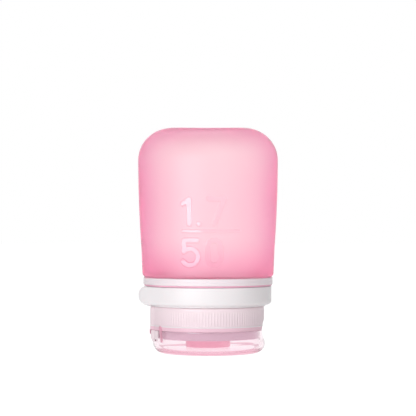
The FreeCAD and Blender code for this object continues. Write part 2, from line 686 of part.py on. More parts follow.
for item in doc.Objects:
    if "Invalid" in item.State or "Error" in item.State:
        raise RuntimeError(f"{item.Name} failed: {item.State}")
for piece in PIECES:
    shape = piece.Shape
    if shape.isNull() or not shape.isValid() or not shape.Solids:
        raise RuntimeError(f"{piece.Label} has no valid solid")

os.makedirs("parts", exist_ok=True)
for piece in PIECES:
    piece.Shape.exportStep(f"parts/{piece.Label}.step")
    box = piece.Shape.BoundBox
    print(f"{piece.Label}: {len(piece.Shape.Solids)} solid(s), {piece.Shape.Volume:.1f} mm3,"
          f" x {box.XMin:.2f} to {box.XMax:.2f}, y {box.YMin:.2f} to {box.YMax:.2f},"
          f" z {box.ZMin:.2f} to {box.ZMax:.2f}")
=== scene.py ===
import json
import math

import bmesh
import bpy
import numpy as np
from bpy.props import FloatProperty, FloatVectorProperty, IntProperty, PointerProperty
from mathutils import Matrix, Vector


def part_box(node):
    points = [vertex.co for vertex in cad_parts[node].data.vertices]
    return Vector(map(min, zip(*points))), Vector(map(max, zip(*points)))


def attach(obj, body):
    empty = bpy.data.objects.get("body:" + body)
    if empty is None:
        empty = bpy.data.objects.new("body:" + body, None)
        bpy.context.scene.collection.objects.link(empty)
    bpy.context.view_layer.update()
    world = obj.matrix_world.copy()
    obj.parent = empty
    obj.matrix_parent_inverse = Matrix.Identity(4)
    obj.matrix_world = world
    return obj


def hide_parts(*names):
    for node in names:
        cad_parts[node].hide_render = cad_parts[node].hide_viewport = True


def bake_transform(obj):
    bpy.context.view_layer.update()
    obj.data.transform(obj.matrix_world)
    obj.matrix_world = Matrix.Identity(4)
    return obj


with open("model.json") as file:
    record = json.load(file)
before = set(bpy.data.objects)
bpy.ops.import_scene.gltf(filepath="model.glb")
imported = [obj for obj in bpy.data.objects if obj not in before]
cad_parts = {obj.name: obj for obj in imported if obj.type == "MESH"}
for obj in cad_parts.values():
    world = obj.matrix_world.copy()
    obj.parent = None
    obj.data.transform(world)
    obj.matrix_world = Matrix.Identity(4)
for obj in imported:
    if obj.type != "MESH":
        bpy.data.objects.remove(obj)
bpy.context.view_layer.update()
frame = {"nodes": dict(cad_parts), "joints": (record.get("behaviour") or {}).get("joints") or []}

bl_info = {
    "name": "Travel Squeeze Bottle",
    "version": (1, 0, 0),
    "blender": (4, 5, 0),
    "location": "3D View > Sidebar > Bottle",
    "description": "Dresses a silicone travel bottle that stands on its flip lid",
    "category": "Add Mesh",
}

MM = 0.001

# Places that the frame gives, in metres. The bottle's axis is Z and its front is -Y.
BODY_LOW, BODY_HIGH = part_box("bottle_body")
CLAMP_LOW, CLAMP_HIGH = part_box("clamp_ring")
COLLAR_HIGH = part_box("collar")[1]
STRAP_LOW, STRAP_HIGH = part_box("loop_strap")
CAP_LOW, CAP_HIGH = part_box("cap")
VALVE_LOW, VALVE_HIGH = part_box("slit_valve")
LID_LOW, LID_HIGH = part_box("lid")
FILM_LOW, FILM_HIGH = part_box("hinge_film")
SPRING_LOW, SPRING_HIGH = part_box("hinge_springs")
JOINTS = {joint["name"]: joint for joint in frame["joints"]}
FULL_TURN = 2 * math.pi
FRONT = -math.pi / 2
PARTING = (LID_HIGH.z + CAP_LOW.z) / 2


def length(name, value, description):
    """A size in metres, given in millimetres."""
    return FloatProperty(name=name, description=description, default=value * MM, unit="LENGTH", precision=5)


def share(name, value, description):
    """A part of a whole, 0 to 1."""
    return FloatProperty(name=name, description=description, default=value, min=0, max=1, subtype="FACTOR")


def amount(name, value, description):
    """A number that isn't below nought."""
    return FloatProperty(name=name, description=description, default=value, min=0)


def colour(name, value, description):
    """A colour in linear light."""
    return FloatVectorProperty(name=name, description=description, default=value, size=3, min=0, max=1,
                               subtype="COLOR")


def angle(name, degrees, description):
    """An angle in radians, given in degrees."""
    return FloatProperty(name=name, description=description, default=math.radians(degrees), subtype="ANGLE")


class BodySizes(bpy.types.PropertyGroup):
    """Sizes of the soft bottle."""
    base_radius: length("Base radius", 23.1, "Wall carried on to the base plane")
    shoulder_radius: length("Shoulder radius", 21.25, "Wall at the shoulder")
    wall: length("Wall", 2.2, "Thickness of the wall")
    base: length("Base", 1.9, "Thickness of the base")
    corner: length("Corner", 10.4, "Round between wall and base")
    trough: length("Trough", 0.65, "Depth of the hollow across the base")
    trough_blend: length("Trough blend", 0.15, "Softness of the hollow's edges")
    shoulder_round: length("Shoulder round", 1.3, "Round at the shoulder's edge")
    neck_outside: length("Neck outside", 15.85, "Outer radius of the soft neck")
    neck_wall: length("Neck wall", 1.5, "Wall of the soft neck")
    flange: length("Flange", 0.4, "Thickness of the clamped flange")
    flange_reach: length("Flange reach", 0.15, "Flange's edge beyond the collar's")
    shoulder_wall: length("Shoulder wall", 0.35, "Thickness of the shoulder")
    inner_round: length("Inner round", 0.6, "Round inside the shoulder")
    edge: length("Edge", 0.25, "Round at the small edges")
    bulge: length("Bulge", 0.24, "Wall standing out half way up")
    bulge_foot: length("Bulge foot", 33, "Height where the wall starts to stand out")


class NumeralSizes(bpy.types.PropertyGroup):
    """Sizes of the raised capacity numerals."""
    tall: length("Height", 7.8, "Numeral's height between stroke centres")
    wide: length("Width", 4.85, "Numeral's width between stroke centres")
    stroke: length("Stroke", 1.65, "Width of a stroke")
    bar_stroke: length("Bar stroke", 1.0, "Width of the dividing bar")
    relief: length("Relief", 0.32, "Height of the strokes above the wall")
    slope: length("Slope", 0.24, "Width of a stroke's sloped edge")
    upper_foot: length("Upper foot", 41.7, "Height of the upper row's foot")
    lower_foot: length("Lower foot", 28.7, "Height of the lower row's foot")
    bar_height: length("Bar height", 39.35, "Height of the dividing bar")
    left: length("Left", -7.8, "Left edge of the first numeral")
    second: length("Second", 0.2, "Left edge of the upper row's second numeral")
    lower_second: length("Lower second", -0.5, "Left edge of the lower row's second numeral")
    point: length("Point", -2.8, "Place of the decimal point")
    bar_right: length("Bar right", 9.7, "Right end of the dividing bar")


class RingSizes(bpy.types.PropertyGroup):
    """Sizes of the clamp ring."""
    bore: length("Bore", 15.9, "Inner radius of the ring")
    thickness: length("Thickness", 2.35, "Height of the ring")
    edge: length("Edge", 0.4, "Round at the outer edges")
    groove: length("Groove", 0.12, "Depth of the line round the middle")
    groove_width: length("Groove width", 0.3, "Width of the line round the middle")
    leg: length("Leg", 0.9, "Thickness of a snap leg")
    barb: length("Barb", 0.6, "Barb standing out from a leg")
    barb_height: length("Barb height", 1.6, "Sloped face of a barb")
    leg_angle: angle("Leg angle", 16, "Angle that a snap leg spans")
    leg_count: IntProperty(name="Legs", description="Snap legs round the ring", default=6, min=1)


class StrapSizes(bpy.types.PropertyGroup):
    """Sizes of the loop strap."""
    thickness: length("Thickness", 1.6, "Thickness of the band")
    edge: length("Edge", 0.35, "Round at the band's upper and inner edges")
    lower_edge: length("Lower edge", 1.1, "Round at the band's lower outer edge")
    tab: length("Tab", 11.2, "Length of the straight tab")
    tab_angle: angle("Tab angle", 225, "Where the tab leaves the collar")
    tab_tip: share("Tab tip", 0.35, "Thickness at the tab's end, of the band's")
    barrel: length("Barrel", 1.0, "Radius of the barrel at the pivot")
    pin: length("Pin", 0.6, "Radius of the pins at the barrel's ends")
    foot_lift: length("Foot lift", 0.4, "Lower edge above the solid's")
    root_angle: angle("Root angle", 8.5, "Angle from the pivot to the band's full height")
    root_inset: length("Root inset", 1.3, "Root's edges inside the band's")


class CapSizes(bpy.types.PropertyGroup):
    """Sizes of the screw cap."""
    skirt: length("Skirt", 1.8, "Wall of the skirt")
    rim: length("Rim", 1.3, "Wall round the valve's pad")
    pad_seat: length("Pad seat", 1.15, "Depth that the valve's pad is let in")
    deck: length("Deck", 1.05, "Thickness of the deck")
    deck_hole: length("Deck hole", 5.85, "Radius of the hole for the valve")
    plug_outside: length("Plug outside", 12.5, "Outer radius of the retainer's wall")
    plug_wall: length("Plug wall", 1.5, "Thickness of the retainer's wall")
    plug_height: length("Plug height", 2.4, "Height of the retainer's wall")
    ribs: IntProperty(name="Ribs", description="Grip ribs round the skirt", default=120, min=3)
    rib_depth: length("Rib depth", 0.12, "Depth of the grooves between ribs")
    rib_foot: length("Rib foot", 9.2, "Height where the ribs start")
    rib_top: length("Rib top", 14.1, "Height where the ribs end")
    rib_fade: length("Rib fade", 0.5, "Run-out at the ribs' ends")
    edge: length("Edge", 0.25, "Round at the edges")
    pitch: length("Pitch", 3.0, "Rise of the thread in one turn")
    thread_depth: length("Thread depth", 1.0, "Height of the thread's ridge")
    thread_root: length("Thread root", 1.15, "Width of the ridge at its foot")
    thread_crest: length("Thread crest", 0.6, "Width of the ridge at its crest")
    thread_turns: FloatProperty(name="Thread turns", description="Turns of the ridge", default=0.95, min=0.1)
    top_lift: length("Top lift", 0.2, "Top edge above the solid's, nearer to the collar")
    bead: length("Bead", 0.14, "Raised line above the valve's pad")
    bead_width: length("Bead width", 0.16, "Half width of that line")
    pad_reach: length("Pad reach", 18.6, "Flat hinge pad from the axis")
    hinge_width: length("Hinge width", 10.4, "Width of the flat pads at the hinge")
    hinge_blend: length("Hinge blend", 2.4, "Slope from a pad to the round wall")
    notch_depth: length("Notch depth", 0.85, "Depth of the thumb notch")
    notch_half: length("Notch half height", 3.4, "Thumb notch above and below the parting line")


class LidSizes(bpy.types.PropertyGroup):
    """Sizes of the flip lid."""
    floor: length("Floor", 1.3, "Thickness of the resting wall")
    wall: length("Wall", 1.3, "Thickness of the side wall")
    round: length("Round", 3.25, "Round at the lower edge")
    edge: length("Edge", 0.1, "Round at the small edges")
    plug: length("Plug", 3.7, "Outer radius of the plug ring")
    plug_wall: length("Plug wall", 1.0, "Thickness of the plug ring")
    plug_top: length("Plug top", 2.6, "Height of the plug ring's top")
    lip: length("Lip", 0.36, "Lower part's shift towards the thumb notch")
    lip_height: length("Lip height", 5.0, "Where that shift starts; it is whole at half this height")
    # The rosy edge is duller, and its pink is a painted reflection of the pink valve.
    foot: length("Foot", 1.1, "Height of the rosy edge that stands on the table")
    pad_height: length("Pad height", 3.6, "Hinge pad below the rim")
    pad_slope: length("Pad slope", 1.0, "Slope at the foot of the hinge pad")
    pad_gap: length("Pad gap", 0.02, "Hinge pad's back off the clear wall")
    pad_half: length("Pad half width", 8.9, "Dull wall to each side of the hinge")
    pad_run: length("Pad run", 0.6, "Dull wall below the hinge pad")


class HingeSizes(bpy.types.PropertyGroup):
    """Sizes of the living hinge."""
    thickness: length("Thickness", 0.4, "Thickness of the straps, and width of the web's bend")
    gap: length("Gap", 0.05, "Straps' inside off the lid's wall")
    slant: share("Slant", 0.5, "How far a strap's foot lies round the wall, of its solid's width")
    width: share("Width", 0.42, "Width of a strap at its top, of its solid's width")
    foot_width: share("Foot width", 0.3, "Width of a strap at its foot, of its solid's width")


class ValveSizes(bpy.types.PropertyGroup):
    """Sizes of the slit valve."""
    pad: length("Pad", 4.0, "Thickness of the pad")
    nozzle: length("Nozzle", 7.2, "Outer radius of the nozzle")
    bore: length("Bore", 4.5, "Radius of the passage")
    neck: length("Neck", 5.8, "Outer radius of the neck in the deck")
    inner_flange: length("Inner flange", 8.6, "Outer radius of the inner flange")
    flange: length("Flange", 1.0, "Thickness of the inner flange")
    inset: length("Inset", 1.3, "Slit membrane above the nozzle's tip")
    membrane: length("Membrane", 0.6, "Thickness of the slit membrane")
    slit: length("Slit", 2.5, "Half length of each slit")
    slit_width: length("Slit width", 0.16, "Half width of each slit's lips")
    slit_depth: share("Slit depth", 0.7, "How far the lips sink towards the membrane's middle")
    edge: length("Edge", 0.6, "Round at the nozzle's tip and the pad's edge")
    tip_drop: length("Tip drop", 0.25, "Nozzle's tip below the solid's")


class Finishes(bpy.types.PropertyGroup):
    """Colours of the materials, and how fast the clear ones take light off."""
    silicone: colour("Silicone", (1.0, 1.0, 0.925), "Soft body's skin, upper part")
    # Painted shade: the lower part's deeper pink stands for the shade towards the shoulder.
    silicone_painted_shade: colour("Silicone low", (1.0, 0.74, 0.79), "Soft body's skin, lower part")
    silicone_depth: colour("Silicone depth", (1.0, 0.49, 0.78), "What the silicone lets through")
    silicone_density: amount("Silicone density", 200, "How fast the silicone takes light off, per metre")
    clamped: colour("Clamped silicone", (1.0, 0.54, 0.70), "Soft neck between the rings")
    valve: colour("Valve", (1.0, 0.74, 0.87), "Valve's pad")
    nozzle: colour("Nozzle", (0.95, 0.48, 0.60), "Valve's nozzle")
    # The rosy tint is partly the plastic's own and partly painted pink light bounced from the body.
    white: colour("White plastic", (0.97, 0.915, 0.935), "Collar and strap")
    ring: colour("Ring plastic", (0.98, 0.86, 0.905), "Clamp ring")
    frosted: colour("Frosted plastic", (1.0, 0.84, 0.89), "Screw cap, upper part")
    frosted_low: colour("Frosted plastic low", (1.0, 0.82, 0.885), "Screw cap, lower part")
    rim: colour("Rim", (1.0, 0.66, 0.78), "Screw cap's thin edge in front of the pink pad")
    # Painted highlight: the bright line stands for light caught on the skirt's edge above the rim.
    line: colour("Line", (1.0, 0.92, 0.95), "Bright line above the screw cap's thin edge")
    hinge: colour("Hinge", (1.0, 0.55, 0.69), "Thin web and straps of the hinge")
    pad: colour("Pad", (1.0, 0.84, 0.89), "Lid's hinge pad")
    # Painted reflection: the lower edge's pink stands for the pink valve reflected in the lid's floor.
    foot: colour("Foot", (0.75, 0.30, 0.42), "Lid's lower edge")
    clear: colour("Clear plastic", (0.99, 0.97, 0.98), "Flip lid's skin")
    clear_depth: colour("Clear depth", (0.96, 0.76, 0.83), "What the lid's plastic lets through")
    clear_density: amount("Clear density", 200, "How fast the lid takes light off, per metre")
    seal: colour("Seal", (0.86, 0.84, 0.845), "Gasket")


class StageSizes(bpy.types.PropertyGroup):
    """Camera, floor and light."""
    distance: length("Camera distance", 520, "Camera to the bottle's axis")
    eye: length("Eye height", 42.25, "Height of the camera")
    aim: length("Aim height", 46.8, "Height of the picture's middle")
    view_width: length("View width", 135.2, "Width of the picture at the axis")
    floor: length("Floor", 2500, "Half width of the floor")
    floor_touch: length("Floor touch", 0.01, "How far the resting face sinks into the floor")
    floor_white: share("Floor white", 0.9, "Floor's own colour")
    floor_level: amount("Floor level", 1.25, "Floor's brightness to the eye, before its shadow's share")
    floor_bounce: share("Floor bounce", 0.7, "Light from the floor on dull surfaces")
    shadow: share("Shadow", 0.2, "How much of the floor shows its own light and shadow")
    key_distance: length("Key distance", 220, "Softbox to the bottle's axis")
    key_angle: angle("Key angle", -29, "Softbox, to the left of the camera")
    key_height: length("Key height", 41, "Softbox's middle")
    key_width: length("Key width", 146, "Softbox's width")
    key_tall: length("Key tall", 79, "Softbox's height")
    key_radiance: amount("Key level", 5.3, "Softbox's brightness")
    fill_distance: length("Fill distance", 900, "Fill and back panels to the bottle's axis")
    fill_height: length("Fill height", 300, "Fill and back panels' middles")
    fill_width: length("Fill width", 800, "Fill and back panels' width")
    fill_angle: angle("Fill angle", 20, "Fill panel, to the right of the camera")
    fill_radiance: amount("Fill level", 1.3, "Fill panel's brightness")
    back_angle: angle("Back angle", 190, "Back panel, behind the bottle")
    back_radiance: amount("Back level", 1.0, "Back panel's brightness")
    surround: amount("Surround", 1.0, "Brightness of what is seen around")
    ambient: share("Ambient", 0.18, "Light from all around on dull surfaces")


class BottleSettings(bpy.types.PropertyGroup):
    """All sizes and colours of the bottle."""
    body: PointerProperty(type=BodySizes)
    numerals: PointerProperty(type=NumeralSizes)
    ring: PointerProperty(type=RingSizes)
    strap: PointerProperty(type=StrapSizes)
    cap: PointerProperty(type=CapSizes)
    lid: PointerProperty(type=LidSizes)
    hinge: PointerProperty(type=HingeSizes)
    valve: PointerProperty(type=ValveSizes)
    finish: PointerProperty(type=Finishes)
    stage: PointerProperty(type=StageSizes)


def settings():
    """The scene's own copy of all sizes and colours."""
    return bpy.context.scene.travel_bottle


# Surfaces

ARC_STEPS = 8
MERGE = 1e-7
SHARP = math.radians(38)


def smooth_step(value):
    """3 t^2 - 2 t^3, with t held between 0 and 1."""
    held = np.clip(value, 0, 1)
    return held * held * (3 - 2 * held)


def soft_least(first, second, blend):
    """The lesser of two heights, with a parabola of the given width where they cross."""
    mix = np.clip(0.5 + 0.5 * (second - first) / blend, 0, 1)
    return second + (first - second) * mix - blend * mix * (1 - mix)


def outline(corners, closed, steps=ARC_STEPS):
    """Points (across, up) of an outline whose corners (across, up, round) are arcs.

    An arc starts round * tan(turn / 2) before its corner.
    It turns evenly from one side's direction to the next.
    """
    points = np.array([corner[:2] for corner in corners], float)
    pieces = []
    for index, (*_, radius) in enumerate(corners):
        here = points[index]
        end = not closed and index in (0, len(corners) - 1)
        if end or radius <= 0:
            pieces.append(here[None])
            continue
        before = here - points[index - 1]
        after = points[(index + 1) % len(points)] - here
        before = before / np.linalg.norm(before)
        after = after / np.linalg.norm(after)
        turn = math.atan2(before[0] * after[1] - before[1] * after[0], before @ after)
        side = math.copysign(1, turn)
        start = here - before * radius * math.tan(abs(turn) / 2)
        normal = np.array([-before[1], before[0]]) * side
        sweep = np.linspace(0, abs(turn), steps + 1)[:, None]
        pieces.append(start + radius * (np.sin(sweep) * before + (1 - np.cos(sweep)) * normal))
    return np.concatenate(pieces)


def filled(points, spacing, closed):
    """The outline with more points on its long sides, none further apart than spacing(middle) gives."""
    ends = np.roll(points, -1, axis=0) if closed else points[1:]
    starts = points if closed else points[:-1]
    pieces = []
    for start, end in zip(starts, ends):
        count = max(1, math.ceil(np.linalg.norm(end - start) / spacing((start + end) / 2)))
        pieces.append(start + (end - start) * np.linspace(0, 1, count, endpoint=False)[:, None])
    if not closed:
        pieces.append(points[-1:])
    return np.concatenate(pieces)


def by_radius(limit, outside, inside):
    """A spacing for filled: one value beyond a radius and one within it."""
    return lambda middle: outside if middle[0] > limit else inside


def turned(points, angles):
    """Surface of revolution: the outline's point (r, z) at angle a lies at (r cos a, r sin a, z)."""
    across = points[:, :1]
    return np.stack([across * np.cos(angles), across * np.sin(angles), points[:, 1:] + 0 * angles], axis=-1)


def carried(profile, origins, outward, upward):
    """A closed profile (across, up) carried along a path.

    At each path point it lies at origin + across * outward + up * upward.
    The profile may differ from point to point.
    """
    across = profile[..., :1]
    up = profile[..., 1:]
    return origins[:, None] + across * outward[:, None] + up * upward[:, None]


def grid_faces(rows, columns, wrap_rows):
    """Corner numbers of the quads between neighbouring points of a grid whose columns close on themselves."""
    row = np.arange(rows if wrap_rows else rows - 1)[:, None]
    column = np.arange(columns)[None]
    next_row = (row + 1) % rows
    next_column = (column + 1) % columns
    corners = [row * columns + column, row * columns + next_column,
               next_row * columns + next_column, next_row * columns + column]
    return np.stack(np.broadcast_arrays(*corners), axis=-1).reshape(-1, 4)


def shell(grid, wrap_rows=False, capped=False):
    """Points and faces of one closed surface; capped closes its first and last rows with flat ends."""
    rows, columns = grid.shape[:2]
    faces = grid_faces(rows, columns, wrap_rows).tolist()
    if capped:
        faces.append(list(range(columns)))
        faces.append(list(range((rows - 1) * columns, rows * columns)))
    return grid.reshape(-1, 3), faces


def new_piece(name, shells, material, body, replaced):
    """A mesh of closed shells, merged at its poles, turned to face outwards and set to ride on a body."""
    points = []
    faces = []
    for part_points, part_faces in shells:
        start = sum(len(part) for part in points)
        points.append(part_points)
        faces.extend([corner + start for corner in face] for face in part_faces)
    mesh = bpy.data.meshes.new(name)
    mesh.from_pydata(np.concatenate(points).tolist(), [], faces)
    work = bmesh.new()
    work.from_mesh(mesh)
    bmesh.ops.remove_doubles(work, verts=work.verts, dist=MERGE)
    bmesh.ops.dissolve_degenerate(work, edges=work.edges, dist=MERGE)
    bmesh.ops.recalc_face_normals(work, faces=work.faces)
    work.to_mesh(mesh)
    work.free()
    mesh.shade_smooth()
    mesh.set_sharp_from_angle(angle=SHARP)
    mesh.materials.append(material)
    if not mesh.polygons:
        raise RuntimeError(f"{name} has no faces")
    piece = bpy.data.objects.new(name, mesh)
    bpy.context.scene.collection.objects.link(piece)
    if body:
        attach(piece, body)
    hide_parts(*replaced)
    return piece


def paint_faces(piece, material, picks):
    """Puts a further material on the faces that picks chooses by their centres."""
    mesh = piece.data
    centres = np.empty(len(mesh.polygons) * 3, np.float32)
    mesh.polygons.foreach_get("center", centres)
    index = np.empty(len(mesh.polygons), np.int32)
    mesh.polygons.foreach_get("material_index", index)
    mesh.materials.append(material)
    index[picks(centres.reshape(-1, 3))] = len(mesh.materials) - 1
    mesh.polygons.foreach_set("material_index", index)


def add_layer(piece, name, values):
    """A number for each vertex, for the material to read."""
    layer = piece.data.attributes.new(name, "FLOAT", "POINT")
    layer.data.foreach_set("value", values.astype(np.float32))


def points_of(mesh):
    """The mesh's vertices as an array."""
    flat = np.empty(len(mesh.vertices) * 3, np.float32)
    mesh.vertices.foreach_get("co", flat)
    return flat.reshape(-1, 3).astype(float)


# Materials. Scales of patterns are in cells per metre.

NOISE_DETAIL = 2.0
GRAIN_STRENGTH = 0.1
GRAIN_DEPTH = 0.04 * MM


class Finish:
    """A new Principled material, and short calls for its nodes."""

    def __init__(self, name):
        self.material = bpy.data.materials.new(name)
        self.material.use_nodes = True
        self.tree = self.material.node_tree
        self.shader = self.tree.nodes["Principled BSDF"]
        self.output = self.tree.nodes["Material Output"]
        self.place = self.node("ShaderNodeTexCoord").outputs["Object"]

    def node(self, kind, **values):
        """A new node with these values."""
        made = self.tree.nodes.new(kind)
        for key, value in values.items():
            setattr(made, key, value)
        return made

    def link(self, source, target):
        self.tree.links.new(source, target)

    def feed(self, source, socket):
        """Links a pattern to one of the shader's own sockets."""
        self.link(source, self.shader.inputs[socket])

    def set(self, **values):
        """Sets the shader's own sockets; an underscore in a name stands for a space."""
        for key, value in values.items():
            self.shader.inputs[key.replace("_", " ")].default_value = value

    def layer(self, name):
        """The number that a piece holds for each vertex."""
        return self.node("ShaderNodeAttribute", attribute_name=name).outputs["Fac"]

    def noise(self, scale, stretch=(1, 1, 1)):
        """Noise on the piece's own coordinates, stretched along an axis where asked."""
        mapping = self.node("ShaderNodeMapping")
        mapping.inputs["Scale"].default_value = stretch
        noise = self.node("ShaderNodeTexNoise")
        noise.inputs["Scale"].default_value = scale
        noise.inputs["Detail"].default_value = NOISE_DETAIL
        self.link(self.place, mapping.inputs["Vector"])
        self.link(mapping.outputs["Vector"], noise.inputs["Vector"])
        return noise.outputs["Fac"]

    def spread(self, source, low, high):
        """Maps a pattern's 0 to 1 on a range of values."""
        ranged = self.node("ShaderNodeMapRange")
        ranged.inputs["To Min"].default_value = low
        ranged.inputs["To Max"].default_value = high
        self.link(source, ranged.inputs["Value"])
        return ranged.outputs["Result"]

    def rise(self, low, high):
        """0 below one height and 1 above another, smooth between."""
        parts = self.node("ShaderNodeSeparateXYZ")
        ranged = self.node("ShaderNodeMapRange", interpolation_type="SMOOTHSTEP")
        ranged.inputs["From Min"].default_value = low
        ranged.inputs["From Max"].default_value = high
        self.link(self.place, parts.inputs["Vector"])
        self.link(parts.outputs["Z"], ranged.inputs["Value"])
        return ranged.outputs["Result"]

    def tint(self, source, first, second):
        """A colour that goes from one tint to another with a pattern."""
        mix = self.node("ShaderNodeMix", data_type="RGBA")
        mix.inputs["A"].default_value = (*first, 1)
        mix.inputs["B"].default_value = (*second, 1)
        self.link(source, mix.inputs["Factor"])
        self.feed(mix.outputs["Result"], "Base Color")

    def wander(self, tint, scale, dim):
        """A colour that is a little dimmer here and there."""
        self.tint(self.noise(scale), tint, tuple(channel * dim for channel in tint))

    def steps(self, source, stops):
        """A colour that goes through the given stops (place, tint)."""
        ramp = self.node("ShaderNodeValToRGB")
        scale = ramp.color_ramp.elements
        while len(scale) < len(stops):
            scale.new(1)
        for mark, (place, tint) in zip(scale, stops):
            mark.position = place
            mark.color = (*tint, 1)
        self.link(source, ramp.inputs["Fac"])
        self.feed(ramp.outputs["Color"], "Base Color")

    def gloss(self, scale, low, high):
        """Roughness that wanders between two values."""
        self.feed(self.spread(self.noise(scale), low, high), "Roughness")

    def grain(self, scale, strength=GRAIN_STRENGTH, depth=GRAIN_DEPTH, stretch=(1, 1, 1)):
        """Fine moulded grain in the shading."""
        bump = self.node("ShaderNodeBump")
        bump.inputs["Strength"].default_value = strength
        bump.inputs["Distance"].default_value = depth
        self.link(self.noise(scale, stretch), bump.inputs["Height"])
        self.feed(bump.outputs["Normal"], "Normal")

    def absorb(self, tint, density):
        """Takes light off with depth inside the piece."""
        inside = self.node("ShaderNodeVolumeAbsorption")
        inside.inputs["Color"].default_value = (*tint, 1)
        inside.inputs["Density"].default_value = density
        self.link(inside.outputs["Volume"], self.output.inputs["Volume"])


NUMERAL_LAYER = "numeral"
DULL_AND_REFLECTION_LAYER = "rosy"
SILICONE_GRAIN = 2600
WHITE_GRAIN = 1800
CAP_GRAIN = 1500
SILICONE_IOR = 1.41
PLASTIC_IOR = 1.5
LID_IOR = 1.49

# Where the body's painted shade fades: the skin is painted deeper pink towards the shoulder for the shade
# there, from a share of the clamp ring's height to a share of the base's.
SHADE_FADE_FOOT = 0.94
SHADE_FADE_TOP = 0.53

# Heights above the solid nozzle's tip between which the valve's tint changes.
NOZZLE_FADE_FOOT = 2 * MM
NOZZLE_FADE_TOP = 3.2 * MM

# Heights above the pad's seat where the cap's painted highlight line is full, ends and has gone.
HIGHLIGHT_FULL = 0.08 * MM
HIGHLIGHT_END = 0.3 * MM
HIGHLIGHT_GONE = 0.5 * MM


def body_silicone(finish):
    """Soft frosted silicone: rough and clear with depth, polished only on the raised numerals."""
    made = Finish("body_silicone")
    # Painted shade: the skin is tinted deeper pink towards the shoulder, where less light reaches.
    fade = made.rise(CLAMP_HIGH.z * SHADE_FADE_FOOT, BODY_HIGH.z * SHADE_FADE_TOP)
    made.tint(fade, finish.silicone_painted_shade, finish.silicone)
    made.gloss(scale=700, low=0.46, high=0.54)
    made.feed(made.spread(made.layer(NUMERAL_LAYER), low=0.45, high=0.08), "Coat Roughness")
    made.grain(SILICONE_GRAIN, strength=0.12, depth=0.05 * MM)
    made.set(IOR=1.14, Transmission_Weight=1.0, Coat_Weight=1.0, Coat_IOR=1.5)
    made.absorb(finish.silicone_depth, finish.silicone_density)
    return made.material


def clamped_silicone(finish):
    """Silicone pressed against the white rings, which scatters the light back."""
    made = Finish("clamped_silicone")
    made.wander(finish.clamped, scale=90, dim=0.97)
    made.gloss(scale=900, low=0.45, high=0.55)
    made.grain(SILICONE_GRAIN)
    made.set(IOR=SILICONE_IOR)
    return made.material


def valve_silicone(finish):
    """The same silicone with a smoother moulded face, deeper in colour on the nozzle."""
    made = Finish("valve_silicone")
    fade = made.rise(VALVE_LOW.z + NOZZLE_FADE_FOOT, VALVE_LOW.z + NOZZLE_FADE_TOP)
    made.tint(fade, finish.nozzle, finish.valve)
    made.gloss(scale=900, low=0.30, high=0.38)
    made.grain(SILICONE_GRAIN)
    made.set(IOR=SILICONE_IOR)
    return made.material


def white_plastic(name, tint, low, high):
    """White plastic with a faint moulded grain and a little light under its skin."""
    made = Finish(name)
    made.wander(tint, scale=70, dim=0.985)
    made.gloss(500, low, high)
    made.grain(WHITE_GRAIN)
    made.set(IOR=PLASTIC_IOR, Subsurface_Weight=0.25, Subsurface_Scale=1.2 * MM,
             Subsurface_Radius=(1.0, 0.8, 0.8))
    return made.material


def satin_white(finish):
    """Satin plastic of the collar and the strap."""
    # Its rosy tint is partly painted pink light bounced from the body.
    return white_plastic("satin_white", finish.white, low=0.36, high=0.46)


def rosy_white(finish):
    """The same plastic in a thinner, slightly rosy moulding."""
    return white_plastic("rosy_white", finish.ring, low=0.34, high=0.42)


def thin_hinge(finish):
    """The cap's plastic where it is thin and takes the pink of what lies behind."""
    made = Finish("thin_hinge")
    made.wander(finish.hinge, scale=80, dim=0.97)
    made.gloss(scale=420, low=0.25, high=0.35)
    made.grain(CAP_GRAIN)
    made.set(IOR=PLASTIC_IOR, Transmission_Weight=0.3)
    return made.material


def milky_cap(finish):
    """Milky plastic that lets a blurred light through, with a rosy edge and a painted highlight line above
    it.
    """
    made = Finish("milky_cap")
    seat = settings().cap.pad_seat
    tall = CAP_HIGH.z - CAP_LOW.z
    heights = [
        (seat, finish.rim),
        (seat + HIGHLIGHT_FULL, finish.line),
        (seat + HIGHLIGHT_END, finish.line),
        (seat + HIGHLIGHT_GONE, finish.frosted_low),
    ]
    stops = [(smooth_step(height / tall), tint) for height, tint in heights]
    made.steps(made.rise(CAP_LOW.z, CAP_HIGH.z), [*stops, (1, finish.frosted)])
    made.gloss(scale=420, low=0.30, high=0.40)
    made.grain(CAP_GRAIN)
    made.set(IOR=PLASTIC_IOR, Transmission_Weight=0.1)
    return made.material


def clear_lid(finish):
    """Clear polished plastic, duller on the edge that it stands on and painted pink there for the valve's
    reflection in the lid's floor, and deeper where it is thick.
    """
    made = Finish("clear_lid")
    # The foot layer makes the edge duller and paints on it the pink valve's reflection.
    rosy = made.layer(DULL_AND_REFLECTION_LAYER)
    made.tint(rosy, finish.clear, finish.foot)
    rough = made.node("ShaderNodeMath", operation="ADD")
    made.link(made.spread(made.noise(scale=300), low=0.03, high=0.07), rough.inputs[0])
    made.link(made.spread(rosy, low=0, high=0.24), rough.inputs[1])
    made.feed(rough.outputs["Value"], "Roughness")
    made.grain(scale=120, strength=0.05, depth=0.1 * MM, stretch=(1, 1, 6))
    made.set(IOR=LID_IOR, Transmission_Weight=1.0)
    made.absorb(finish.clear_depth, finish.clear_density)
    return made.material


def rosy_pad(finish):
    """Hinge pad of the lid, dulled by the web that is moulded on it."""
    made = Finish("rosy_pad")
    made.wander(finish.pad, scale=300, dim=0.95)
    made.gloss(scale=600, low=0.3, high=0.4)
    made.grain(CAP_GRAIN, strength=0.08)
    made.set(IOR=LID_IOR)
    return made.material


def seal_rubber(finish):
    """Dull pale seal with a fine skin."""
    made = Finish("seal_rubber")
    made.wander(finish.seal, scale=200, dim=0.95)
    made.gloss(scale=900, low=0.55, high=0.7)
    made.grain(scale=2400, strength=0.2, depth=0.05 * MM)
    return made.material


